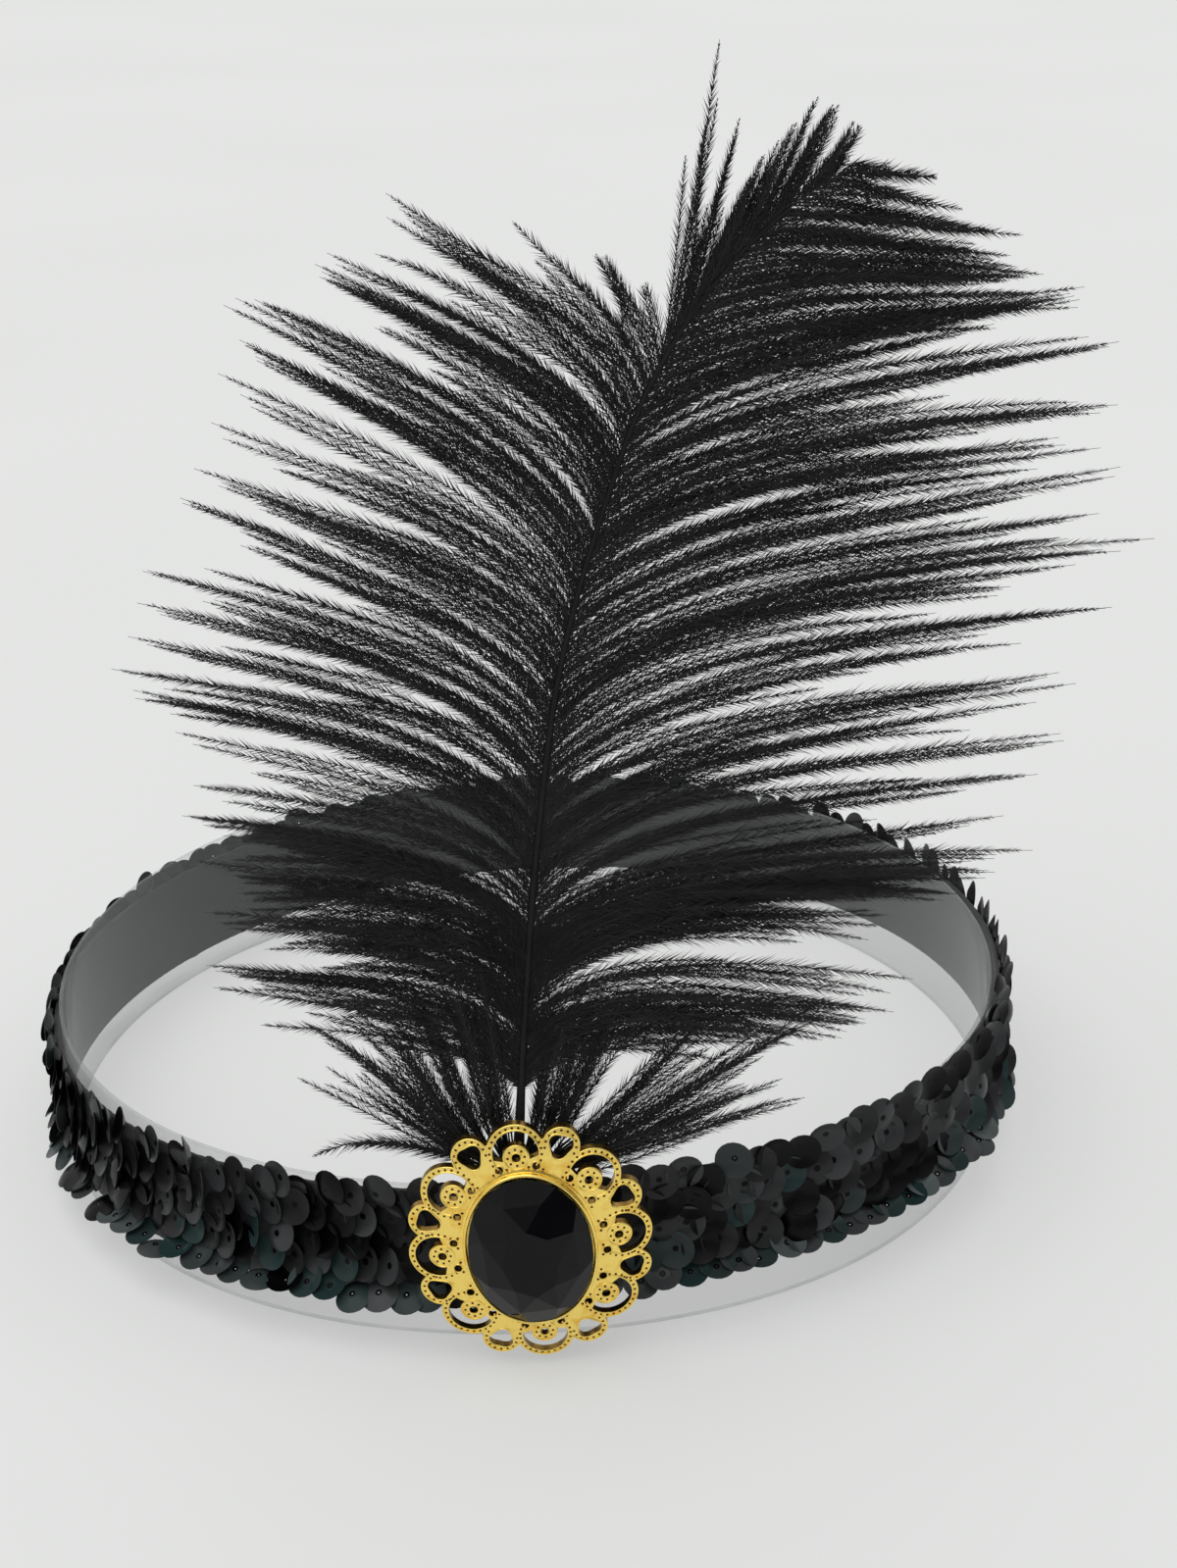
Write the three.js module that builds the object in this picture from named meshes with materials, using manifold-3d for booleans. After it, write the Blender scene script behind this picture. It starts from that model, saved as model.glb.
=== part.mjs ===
// A flapper feather headband on a clear display hoop: an elastic band covered in five courses of
// black sequins, a pierced gold brooch with an oval black stone at the front, and a black ostrich
// plume that stands up behind the brooch. Millimetres, +Z up, the front towards -Y.
// The origin is on the table, at the centre of the hoop.
import * as THREE from "three";
import { ConvexGeometry } from "three/addons/geometries/ConvexGeometry.js";
import { mergeVertices } from "three/addons/utils/BufferGeometryUtils.js";
import Module from "manifold-3d";

const wasm = await Module();
wasm.setup();

// The clear hoop, a round strip that is flattened a little behind the brooch.
const hoopRadius = 84;
const hoopHeight = 27;
const hoopWall = 0.8;
const frontFlat = 6; // how far the front lies inside the circle
const frontFlatSpread = 32; // degrees over which that flattening fades
const hoopStations = 64;

// The elastic band that the hoop holds open.
const seatGap = 0.3; // clearance between pieces that rest on each other
const bandWall = 1.0;
const bandHeight = 19;
const bandFoot = 6; // height of the band's lower edge above the table

// The sequins, in courses that overlap like roof shingles.
const sequinDiameter = 6;
const sequinThickness = 0.6;
const courseCount = 5;
const courseFlare = 1.8; // how far a course's lower edge stands out
const courseScallop = 1.3; // depth of the notch between two sequins
const scallopPitch = 11; // from one scallop of a course to the next
const edgeOverhang = 2.1; // how far the first and last course reach past the band

// The brooch: an oval stone in a bezel, within a pierced border of lobes.
const broochTilt = 6; // degrees, its top towards the wearer's right
const broochLift = 6.9; // how far its centre lies above the middle of the band
const stoneWidth = 18.5;
const stoneLength = 25;
const stoneRise = 4.6;
const plateThickness = 1.2;
const bezelWall = 0.5;
const bezelRise = 1.2;
const bezelSegments = 32;
const stoneFacets = 8; // in the row round the table
const lobePairs = 8; // a large and a small lobe each
const lobeSamples = 14; // points of the outline for each pair
const largeLobeRadius = 4.4;
const largeLobeOut = [3.9, 2.8]; // its centre's distance from the bezel, at the sides and ends
const smallLobeRadius = 2.9;
const smallLobeOut = [5.5, 4.6];
const lobeRim = 1; // width of the arch round a large lobe
const loopRadius = 2;
const loopInset = 0.65; // the loop's centre, in from its lobe's centre
const loopHoleRadius = 0.65;
const crescentReach = 102; // degrees that the opening between arch and loop runs to each side
const smallLobeRim = 1.15;
const studHoleRadius = 0.6; // a ring of small holes round the bezel
const studHoleOut = [1.35, 0.9];
const plateDome = 1.6; // how far the border's edge curves back
const plateDomeReach = 8; // distance over which it does

// The felt pad that carries the brooch and holds the quill.
const padInset = 0.6; // how far its edge lies inside the bezel's outer edge
const padThickness = 3.4;

// The plume.
const quillRadius = 0.9;
const quillTipRadius = 0.55;
const quillInset = 3; // height of the quill's lower end above the pad's lower edge
const quillSide = -1.4; // the quill's place, sideways from the brooch's centre
const plumeRise = 144; // height of the shaft from the pad to its tip
const plumeShift = 53; // how far the tip leans sideways
const plumeBow = 14; // how far the tip leans back
const longestBarb = 80;
const vaneSweep = 0.14; // share of its reach by which a barb's tip trails behind
const lockThickness = 1.5;
const lockEdge = 0.7;
const lockStagger = 2.2; // every second lock's tip lies this far behind its neighbours

// The shaft's course: rise is a share of plumeRise and shift a share of plumeShift.
const shaftTable = [
  { rise: 0, shift: 0 },
  { rise: 0.14, shift: 0.03 },
  { rise: 0.34, shift: 0.087 },
  { rise: 0.52, shift: 0.167 },
  { rise: 0.67, shift: 0.29 },
  { rise: 0.785, shift: 0.415 },
  { rise: 0.88, shift: 0.587 },
  { rise: 0.933, shift: 0.735 },
  { rise: 1, shift: 1 },
];

// Barbs: at is their root's share of the shaft, reach a share of longestBarb from root to tip,
// aim the angle from the shaft to that line in degrees, and bend how far the barb turns outwards.
const leftBarbs = [
  { at: 0.03, reach: 0.43, aim: 103, bend: 60 },
  { at: 0.06, reach: 0.43, aim: 88, bend: 70 },
  { at: 0.1, reach: 0.59, aim: 86, bend: 84 },
  { at: 0.17, reach: 0.57, aim: 84, bend: 87 },
  { at: 0.26, reach: 0.63, aim: 87, bend: 90 },
  { at: 0.36, reach: 0.725, aim: 89, bend: 94 },
  { at: 0.42, reach: 0.785, aim: 91, bend: 98 },
  { at: 0.49, reach: 0.755, aim: 92, bend: 104 },
  { at: 0.55, reach: 0.725, aim: 92, bend: 108 },
  { at: 0.6, reach: 0.715, aim: 89, bend: 110 },
  { at: 0.635, reach: 0.685, aim: 81, bend: 106 },
  { at: 0.67, reach: 0.63, aim: 74, bend: 105 },
  { at: 0.7, reach: 0.55, aim: 68, bend: 105 },
  { at: 0.73, reach: 0.35, aim: 62, bend: 100 },
  { at: 0.75, reach: 0.18, aim: 47, bend: 67 },
];
const crestBarbs = [
  { at: 0.755, reach: 0.51, aim: 19, bend: 3 },
  { at: 0.8, reach: 0.37, aim: 13, bend: -2 },
  { at: 0.86, reach: 0.29, aim: 14, bend: -2 },
  { at: 0.93, reach: 0.2, aim: 11, bend: -3 },
  { at: 1, reach: 0.1, aim: 6, bend: 0 },
];
const rightBarbs = [
  { at: 0.03, reach: 0.51, aim: 88, bend: 57 },
  { at: 0.07, reach: 0.57, aim: 87, bend: 80 },
  { at: 0.11, reach: 0.6, aim: 89, bend: 86 },
  { at: 0.16, reach: 0.7, aim: 90, bend: 80 },
  { at: 0.22, reach: 0.82, aim: 87, bend: 65 },
  { at: 0.29, reach: 0.87, aim: 86, bend: 56 },
  { at: 0.35, reach: 0.92, aim: 86, bend: 49 },
  { at: 0.4, reach: 0.97, aim: 84, bend: 43 },
  { at: 0.47, reach: 0.93, aim: 80, bend: 35 },
  { at: 0.53, reach: 0.95, aim: 75, bend: 31 },
  { at: 0.58, reach: 0.97, aim: 70, bend: 27 },
  { at: 0.635, reach: 0.91, aim: 66, bend: 32 },
  { at: 0.68, reach: 0.85, aim: 61, bend: 36 },
  { at: 0.73, reach: 0.73, aim: 54, bend: 35 },
  { at: 0.79, reach: 0.59, aim: 46, bend: 30 },
  { at: 0.85, reach: 0.45, aim: 38, bend: 28 },
  { at: 0.91, reach: 0.31, aim: 33, bend: 30 },
  { at: 0.96, reach: 0.2, aim: 26, bend: 30 },
  { at: 1, reach: 0.1, aim: 14, bend: 24 },
];

// A lock's sections from its root to its tip. It is joined to its neighbours where width is 1.
const lockTable = [
  { along: 0, width: 1, thickness: 0.4, stagger: 0 },
  { along: 0.21, width: 1, thickness: 1, stagger: 0 },
  { along: 0.42, width: 1, thickness: 1, stagger: 0 },
  { along: 0.62, width: 0.79, thickness: 0.83, stagger: 0.12 },
  { along: 0.81, width: 0.46, thickness: 0.66, stagger: 0.45 },
  { along: 1, width: 0.06, thickness: 0.5, stagger: 1 },
];
const vanes = [
  { barbs: leftBarbs, turn: 1, locks: 21 },
  { barbs: crestBarbs, turn: 1, locks: 6 },
  { barbs: rightBarbs, turn: -1, locks: 27 },
];

// Places across the front, worked out from the hoop outwards.
const bandOut = seatGap; // from the hoop's outer face
const courseOut = bandOut + bandWall + seatGap;
const frontRadius = hoopRadius - frontFlat;
const sequinFace = -(frontRadius + courseOut + courseFlare + sequinThickness);
const padBack = sequinFace - seatGap;
const padFront = padBack - padThickness;
const plateBack = padFront - seatGap;
const quillDepth = padBack - padThickness / 2;
const broochHeight = bandFoot + bandHeight / 2 + broochLift;
const bezelHalfWidth = stoneWidth / 2 + seatGap;
const bezelHalfLength = stoneLength / 2 + seatGap;
const padHalfWidth = bezelHalfWidth + bezelWall - padInset;
const padHalfLength = bezelHalfLength + bezelWall - padInset;
const padTop = broochHeight + padHalfLength;
const padFoot = broochHeight - padHalfLength;

const radians = THREE.MathUtils.degToRad;

// A closed body from its points and its faces, with the faces turned outwards.
function closedBody(points, faces) {
  const position = new Float32Array(points.flatMap((p) => [p.x, p.y, p.z]));
  const volume = faces.reduce((sum, [a, b, c]) => {
    const normal = new THREE.Vector3().crossVectors(points[b], points[c]);
    return sum + points[a].dot(normal);
  }, 0);
  const outward = volume < 0 ? faces.map(([a, b, c]) => [a, c, b]) : faces;
  const geometry = new THREE.BufferGeometry();
  geometry.setAttribute("position", new THREE.BufferAttribute(position, 3));
  geometry.setIndex(outward.flat());
  return geometry;
}

// The faces between two loops of points, given by their first indices.
function sleeveFaces(first, second, count) {
  const faces = [];
  for (let i = 0; i < count; i++) {
    const next = (i + 1) % count;
    faces.push([first + i, first + next, second + next]);
    faces.push([first + i, second + next, second + i]);
  }
  return faces;
}

// A body through a list of sections with as many points each, closed at both ends.
function lofted(sections) {
  const count = sections[0].length;
  const last = (sections.length - 1) * count;
  const faces = [];
  for (let j = 0; j + 1 < sections.length; j++) {
    faces.push(...sleeveFaces(j * count, (j + 1) * count, count));
  }
  for (let i = 1; i + 1 < count; i++) {
    faces.push([0, i + 1, i]);
    faces.push([last, last + i, last + i + 1]);
  }
  return closedBody(sections.flat(), faces);
}

function toManifold(geometry) {
  const bare = geometry.clone();
  bare.deleteAttribute("normal");
  bare.deleteAttribute("uv");
  const merged = mergeVertices(bare, 1e-4);
  return new wasm.Manifold(
    new wasm.Mesh({
      numProp: 3,
      vertProperties: merged.attributes.position.array,
      triVerts: new Uint32Array(merged.index.array),
    }),
  );
}

function fromManifold(body) {
  const mesh = body.getMesh();
  const geometry = new THREE.BufferGeometry();
  geometry.setAttribute("position", new THREE.BufferAttribute(mesh.vertProperties, 3));
  geometry.setIndex(new THREE.BufferAttribute(mesh.triVerts, 1));
  return geometry;
}

// The hoop's outer radius at an angle from the front, in radians.
function hoopOutline(angle) {
  const wrapped = Math.atan2(Math.sin(angle), Math.cos(angle));
  return hoopRadius - frontFlat * Math.exp(-0.5 * (wrapped / radians(frontFlatSpread)) ** 2);
}

// A point at a distance out from the hoop's outer face.
function ringPoint(angle, out, z) {
  const radius = hoopOutline(angle) + out;
  return new THREE.Vector3(radius * Math.sin(angle), -radius * Math.cos(angle), z);
}

// A ring whose section, a list of [out, z], may change from station to station.
function ring(stations, sectionAt) {
  const sections = [];
  for (let i = 0; i < stations; i++) {
    const angle = (2 * Math.PI * i) / stations;
    sections.push(sectionAt(i).map(([out, z]) => ringPoint(angle, out, z)));
  }
  const count = sections[0].length;
  const faces = sections.flatMap((_, i) =>
    sleeveFaces(i * count, ((i + 1) % stations) * count, count),
  );
  return closedBody(sections.flat(), faces);
}

function straightRing(innerOut, outerOut, foot, height) {
  return ring(hoopStations, () => [
    [innerOut, foot],
    [outerOut, foot],
    [outerOut, foot + height],
    [innerOut, foot + height],
  ]);
}

function hoop() {
  return straightRing(-hoopWall, 0, 0, hoopHeight);
}

function band() {
  return straightRing(bandOut, bandOut + bandWall, bandFoot, bandHeight);
}

// One course of sequins: a flared strip whose edges are scalloped, offset from the next course.
function sequinCourse(course) {
  const scallops = Math.round((2 * Math.PI * hoopRadius) / scallopPitch);
  const lowest = bandFoot - edgeOverhang + sequinDiameter / 2;
  const highest = bandFoot + bandHeight + edgeOverhang - sequinDiameter / 2;
  const middle = THREE.MathUtils.lerp(lowest, highest, course / (courseCount - 1));
  const flareAt = (z) => {
    const share = (middle + sequinDiameter / 2 - z) / sequinDiameter;
    return courseOut + courseFlare * share;
  };
  return ring(2 * scallops, (i) => {
    const notch = (i + course) % 2 ? courseScallop : 0;
    const top = middle + sequinDiameter / 2 - notch;
    const foot = middle - sequinDiameter / 2 + notch;
    return [
      [flareAt(top), top],
      [flareAt(top) + sequinThickness, top],
      [flareAt(foot) + sequinThickness, foot],
      [flareAt(foot), foot],
    ];
  });
}

// Brooch shapes are drawn in a plane with x sideways and y up, and extruded towards the front.
function ovalPoint(halfWidth, halfLength, angle) {
  return new THREE.Vector2(halfWidth * Math.cos(angle), halfLength * Math.sin(angle));
}

function oval(halfWidth, halfLength, segments) {
  return Array.from({ length: segments }, (_, i) =>
    ovalPoint(halfWidth, halfLength, (2 * Math.PI * i) / segments),
  );
}

function arc(centre, radius, from, to, segments) {
  return Array.from({ length: segments + 1 }, (_, i) => {
    const angle = THREE.MathUtils.lerp(from, to, i / segments);
    const step = new THREE.Vector2(radius * Math.cos(angle), radius * Math.sin(angle));
    return step.add(centre);
  });
}

function circle(centre, radius, segments) {
  return arc(centre, radius, 0, 2 * Math.PI * (1 - 1 / segments), segments - 1);
}

function extruded(outline, holes, back, depth) {
  const shape = new THREE.Shape(outline);
  shape.holes = holes.map((points) => new THREE.Path(points));
  const geometry = new THREE.ExtrudeGeometry(shape, { depth, bevelEnabled: false });
  return geometry.translate(0, 0, back);
}

// A point of the border's pattern: the direction is a share of a full turn from the top, in steps
// of a pair of lobes, and out its distance from the bezel at the sides and at the ends.
function borderPoint([sideOut, endOut], step) {
  const angle = Math.PI / 2 + (2 * Math.PI * step) / lobePairs;
  const halfWidth = bezelHalfWidth + bezelWall + sideOut;
  const halfLength = bezelHalfLength + bezelWall + endOut;
  const radius = 1 / Math.hypot(Math.cos(angle) / halfWidth, Math.sin(angle) / halfLength);
  return new THREE.Vector2(radius * Math.cos(angle), radius * Math.sin(angle));
}

// The distance from the centre to the far side of a circle, along a direction, or 0 if it misses.
function farSide(direction, centre, radius) {
  const along = direction.dot(centre);
  const square = radius ** 2 - (centre.lengthSq() - along ** 2);
  return square > 0 && along > 0 ? along + Math.sqrt(square) : 0;
}

// The border's outline: the furthest lobe in each direction.
function borderOutline() {
  const samples = lobePairs * lobeSamples;
  const lobes = Array.from({ length: lobePairs }, (_, k) => [
    { centre: borderPoint(largeLobeOut, k), radius: largeLobeRadius },
    { centre: borderPoint(smallLobeOut, k + 0.5), radius: smallLobeRadius },
  ]).flat();
  return Array.from({ length: samples }, (_, i) => {
    const angle = (2 * Math.PI * i) / samples;
    const direction = new THREE.Vector2(Math.cos(angle), Math.sin(angle));
    const reach = Math.max(...lobes.map((lobe) => farSide(direction, lobe.centre, lobe.radius)));
    return direction.multiplyScalar(reach);
  });
}

// The crescent between a large lobe's arch and its loop.
function crescent(lobeCentre, loopCentre) {
  const outward = loopCentre.angle();
  const wide = radians(crescentReach);
  const outer = arc(lobeCentre, largeLobeRadius - lobeRim, outward - wide, outward + wide, 8);
  const inner = arc(loopCentre, loopRadius, outward + wide, outward - wide, 6);
  return [...outer, ...inner];
}

function borderOpenings() {
  const openings = [];
  for (let k = 0; k < lobePairs; k++) {
    const lobeCentre = borderPoint(largeLobeOut, k);
    const loopCentre = lobeCentre.clone().setLength(lobeCentre.length() - loopInset);
    openings.push(crescent(lobeCentre, loopCentre));
    openings.push(circle(loopCentre, loopHoleRadius, 6));
    openings.push(circle(borderPoint(smallLobeOut, k + 0.5), smallLobeRadius - smallLobeRim, 8));
    for (const step of [0.25, 0.75]) {
      openings.push(circle(borderPoint(studHoleOut, k + step), studHoleRadius, 6));
    }
  }
  return openings;
}

// Curves the border back outside the bezel.
function domed(geometry) {
  const position = geometry.attributes.position;
  for (let i = 0; i < position.count; i++) {
    const x = position.getX(i);
    const y = position.getY(i);
    const scale = Math.hypot(x / bezelHalfWidth, y / bezelHalfLength);
    const beyond = Math.hypot(x, y) * (1 - 1 / Math.max(scale, 1)) - bezelWall;
    const back = plateDome * (Math.max(beyond, 0) / plateDomeReach) ** 1.5;
    position.setZ(i, position.getZ(i) - back);
  }
  return geometry;
}

// The pierced border is curved back first, and then joined to the pan that holds the stone.
function brooch() {
  const wall = oval(bezelHalfWidth + bezelWall, bezelHalfLength + bezelWall, bezelSegments);
  const seat = oval(bezelHalfWidth, bezelHalfLength, bezelSegments);
  const border = toManifold(extruded(borderOutline(), [seat], 0, plateThickness));
  const pierced = borderOpenings().reduce((body, outline) => {
    const cutter = extruded(outline, [], -plateThickness, 3 * plateThickness);
    return body.subtract(toManifold(cutter));
  }, border);
  const curved = toManifold(domed(fromManifold(pierced)));
  const pan = toManifold(extruded(wall, [], 0, plateThickness + bezelRise));
  const hollow = toManifold(extruded(seat, [], plateThickness, 2 * bezelRise));
  return fromManifold(curved.add(pan.subtract(hollow)));
}

// The stone: a flat back, a girdle and two rows of facets up to its table.
function stone() {
  const rows = [
    { sides: 2 * stoneFacets, scale: 0.96, rise: 0, turn: 0.5 },
    { sides: 2 * stoneFacets, scale: 1, rise: 0.2, turn: 0.5 },
    { sides: stoneFacets, scale: 0.8, rise: 0.64, turn: 0.5 },
    { sides: stoneFacets, scale: 0.46, rise: 1, turn: 0 },
  ];
  const points = rows.flatMap(({ sides, scale, rise, turn }) =>
    Array.from({ length: sides }, (_, i) => {
      const angle = (2 * Math.PI * (i + turn)) / sides;
      const p = ovalPoint((scale * stoneWidth) / 2, (scale * stoneLength) / 2, angle);
      return new THREE.Vector3(p.x, p.y, rise * stoneRise);
    }),
  );
  return new ConvexGeometry(points).translate(0, 0, plateThickness + seatGap);
}

// The pad, with a square hole along it for the quill.
function pad() {
  const block = extruded(oval(padHalfWidth, padHalfLength, 24), [], 0, padThickness);
  const side = 2 * (quillRadius + seatGap);
  const channel = new THREE.BoxGeometry(side, 4 * padHalfLength, side);
  channel.translate(quillSide, 0, padThickness / 2);
  return fromManifold(toManifold(block).subtract(toManifold(channel)));
}

// The shaft's points lie in the brooch's plane and lean back as they rise.
const shaftPoints = shaftTable.map(
  ({ rise, shift }) =>
    new THREE.Vector3(
      quillSide + plumeShift * shift,
      quillDepth + plumeBow * (1 - (1 - rise) ** 2),
      padTop + plumeRise * rise,
    ),
);
const shaft = new THREE.CatmullRomCurve3(shaftPoints, false, "centripetal");

function shaftAngle(at) {
  const tangent = shaft.getTangentAt(at);
  return Math.atan2(tangent.z, tangent.x);
}

// A row of the barbs' table at any share of the shaft, between the two rows around it.
function barbRow(barbs, at) {
  const upper = Math.max(1, barbs.findIndex((row) => row.at >= at));
  const [low, high] = [barbs[upper - 1], barbs[upper]];
  const share = THREE.MathUtils.clamp((at - low.at) / (high.at - low.at), 0, 1);
  const mix = (key) => THREE.MathUtils.lerp(low[key], high[key], share);
  return {
    reach: mix("reach") * longestBarb,
    aim: radians(mix("aim")),
    bend: radians(mix("bend")),
  };
}

// A point along a barb: an arc from its root, with along from 0 to 1.
function barbPoint(vane, at, along) {
  const { reach, aim, bend } = barbRow(vane.barbs, at);
  const root = shaft.getPointAt(at);
  const turned = bend * along;
  const chordShare = Math.abs(bend) < 1e-3 ? along : Math.sin(turned / 2) / Math.sin(bend / 2);
  const heading = shaftAngle(at) + vane.turn * (aim - bend / 2 + turned / 2);
  return new THREE.Vector3(
    root.x + reach * chordShare * Math.cos(heading),
    root.y + vaneSweep * reach * along ** 2,
    root.z + reach * chordShare * Math.sin(heading),
  );
}

// One lock of barbs: joined to its neighbours near the shaft, and pointed beyond lockSplit. Every
// second lock is listed from its other edge, so that neighbours share the same faces.
function lock(vane, index) {
  const first = vane.barbs[0].at;
  const span = vane.barbs.at(-1).at - first;
  const steps = index % 2 ? [index + 1, index] : [index, index + 1];
  const edges = steps.map((step) => first + (span * step) / vane.locks);
  const middle = (edges[0] + edges[1]) / 2;
  const sections = lockTable.map(({ along, width, thickness, stagger }) => {
    const at = (edge) => (width < 1 ? THREE.MathUtils.lerp(middle, edge, width) : edge);
    const [near, far] = edges.map((edge) => barbPoint(vane, at(edge), along));
    const ridge = barbPoint(vane, middle, along);
    const behind = index % 2 ? lockStagger * stagger : 0;
    const ridgeStep = (lockThickness * thickness) / 2;
    const shifted = (p, step) => new THREE.Vector3(p.x, p.y + behind + step, p.z);
    return [
      shifted(near, -lockEdge / 2),
      shifted(ridge, -ridgeStep),
      shifted(far, -lockEdge / 2),
      shifted(far, lockEdge / 2),
      shifted(ridge, ridgeStep),
      shifted(near, lockEdge / 2),
    ];
  });
  return lofted(sections);
}

// The quill and shaft: straight through the pad, then tapering along its curve.
function quill() {
  const sides = 6;
  const steps = 24;
  const across = (centre, radius, tilt) =>
    Array.from({ length: sides }, (_, i) => {
      const angle = (2 * Math.PI * i) / sides;
      const sideways = radius * Math.cos(angle);
      return new THREE.Vector3(
        centre.x + sideways * Math.sin(tilt),
        centre.y + radius * Math.sin(angle),
        centre.z - sideways * Math.cos(tilt),
      );
    });
  const foot = new THREE.Vector3(quillSide, quillDepth, padFoot + quillInset);
  const sections = [across(foot, quillRadius, Math.PI / 2)];
  for (let j = 0; j <= steps; j++) {
    const at = j / steps;
    const radius = THREE.MathUtils.lerp(quillRadius, quillTipRadius, at);
    sections.push(across(shaft.getPointAt(at), radius, shaftAngle(at)));
  }
  return lofted(sections);
}

// The locks fused to the shaft. Rounding can leave a closed sliver without thickness where two
// locks meet, so only the largest skin is kept.
function plume() {
  const bodies = vanes.flatMap((vane) =>
    Array.from({ length: vane.locks }, (_, index) => toManifold(lock(vane, index))),
  );
  const fused = bodies.reduce((sum, body) => sum.add(body)).add(toManifold(quill()));
  const skins = fused.decompose().sort((a, b) => b.volume() - a.volume());
  return fromManifold(skins[0]);
}

const clearPlastic = new THREE.MeshStandardMaterial({
  color: 0xe6eceb,
  roughness: 0.1,
  transparent: true,
  opacity: 0.35,
});
const blackElastic = new THREE.MeshStandardMaterial({ color: 0x2b2c2e, roughness: 0.85 });
const blackSequin = new THREE.MeshStandardMaterial({ color: 0x17181b, roughness: 0.3 });
const gold = new THREE.MeshStandardMaterial({ color: 0xd9a92e, roughness: 0.3, metalness: 1 });
const blackStone = new THREE.MeshStandardMaterial({ color: 0x07080a, roughness: 0.05 });
const blackFelt = new THREE.MeshStandardMaterial({ color: 0x16161a, roughness: 0.95 });
const blackFeather = new THREE.MeshStandardMaterial({ color: 0x0b0b0d, roughness: 0.7 });

function piece(name, geometry, material) {
  const mesh = new THREE.Mesh(geometry, material);
  mesh.name = name;
  return mesh;
}

const headband = new THREE.Group();
headband.add(piece("display_hoop", hoop(), clearPlastic));
headband.add(piece("elastic_band", band(), blackElastic));
for (let course = 0; course < courseCount; course++) {
  headband.add(piece(`sequin_course_${course + 1}`, sequinCourse(course), blackSequin));
}

// The brooch's group stands its drawing plane upright, facing the front.
const broochGroup = new THREE.Group();
broochGroup.rotation.set(Math.PI / 2, 0, radians(broochTilt));
broochGroup.position.set(0, plateBack, broochHeight);
broochGroup.add(piece("brooch_filigree", brooch(), gold));
broochGroup.add(piece("oval_stone", stone(), blackStone));
headband.add(broochGroup);

const padGroup = new THREE.Group();
padGroup.rotation.set(Math.PI / 2, 0, 0);
padGroup.position.set(0, padBack, broochHeight);
padGroup.add(piece("felt_pad", pad(), blackFelt));
headband.add(padGroup);

headband.add(piece("ostrich_plume", plume(), blackFeather));

export default headband;
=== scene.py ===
import math

import bmesh
import bpy
import numpy as np
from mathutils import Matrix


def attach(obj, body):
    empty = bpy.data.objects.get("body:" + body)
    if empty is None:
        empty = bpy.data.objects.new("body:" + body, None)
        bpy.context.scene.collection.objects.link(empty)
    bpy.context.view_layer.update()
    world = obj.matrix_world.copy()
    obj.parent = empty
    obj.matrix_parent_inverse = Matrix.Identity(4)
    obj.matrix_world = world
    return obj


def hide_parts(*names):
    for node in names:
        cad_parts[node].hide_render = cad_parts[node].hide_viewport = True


# A flapper feather headband on a clear display hoop. Shapes are worked out in millimetres, with
# +Z up and the front towards -Y, and are turned into metres when a mesh is made.
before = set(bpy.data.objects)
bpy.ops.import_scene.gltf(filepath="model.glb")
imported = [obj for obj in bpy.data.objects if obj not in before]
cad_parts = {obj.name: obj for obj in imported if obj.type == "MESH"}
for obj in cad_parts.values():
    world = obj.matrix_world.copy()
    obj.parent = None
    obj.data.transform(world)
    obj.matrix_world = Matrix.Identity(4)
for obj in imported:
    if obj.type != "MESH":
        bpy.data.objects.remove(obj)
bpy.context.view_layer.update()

MM = 0.001
DEGREE = math.pi / 180

# The photograph's camera.
IMAGE_SIZE = (1200, 1599)
FOCAL_PIXELS = 2400
SENSOR = 36
CAMERA_PLACE = (4.89, -383.26, 222.8)
CAMERA_RIGHT = (0.9993, -0.0293, -0.0247)
CAMERA_UP = (0.0342, 0.3903, 0.9200)

# The light.
WORLD_BRIGHT_SIDE = (-0.2, 0.15, 0.97)
WORLD_STRENGTH = 0.82
SEEN_BACKGROUND = (0.745, 0.755, 0.745, 1)
SUN_SIDE = (-0.25, -0.25, 1)
SUN_SPREAD = 60 * DEGREE
SUN_STRENGTH = 0.9
FLOOR_GLOW = 0.37

# The hoop and the band round it.
HOOP_RADIUS = 84
HOOP_HEIGHT = 27
HOOP_WALL = 0.8
FRONT_FLAT = 6
FRONT_FLAT_SPREAD = 32 * DEGREE
SEAT_GAP = 0.3
BAND_WALL = 1.0
BAND_HEIGHT = 19
BAND_FOOT = 6
BAND_LIFT = 0.4  # the band sits a little askew on the hoop: its mean lift,
BAND_TILT = 2.8  # how much more it rises at its highest side,
BAND_TILT_SIDE = 45 * DEGREE  # and where that side is, from the front

# The sequins.
SEQUIN_RADIUS = 3
SEQUIN_HOLE = 0.14
SEQUIN_EYE = 0.45  # the radius of the middle round the stitch hole, painted darkest as shade
SEQUIN_FLAT = 1.2  # and of the flat part round it
SEQUIN_SHEET = 0.12
SEQUIN_CUP = 0.8
COURSE_COUNT = 5
COURSE_HEIGHTS = (8.0, 11.9, 16.0, 20.1, 24.2)
COURSE_LEANS = (16, 16, 12, 9, 2)  # degrees
COURSE_TURN = 14  # degrees
LOW_SPLAY = 64  # degrees that the lowest course leans out further in front
SEQUINS_PER_COURSE = 128
SEQUIN_SEAT = 0.6  # from the hoop's outer face to a sequin's inmost point

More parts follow.
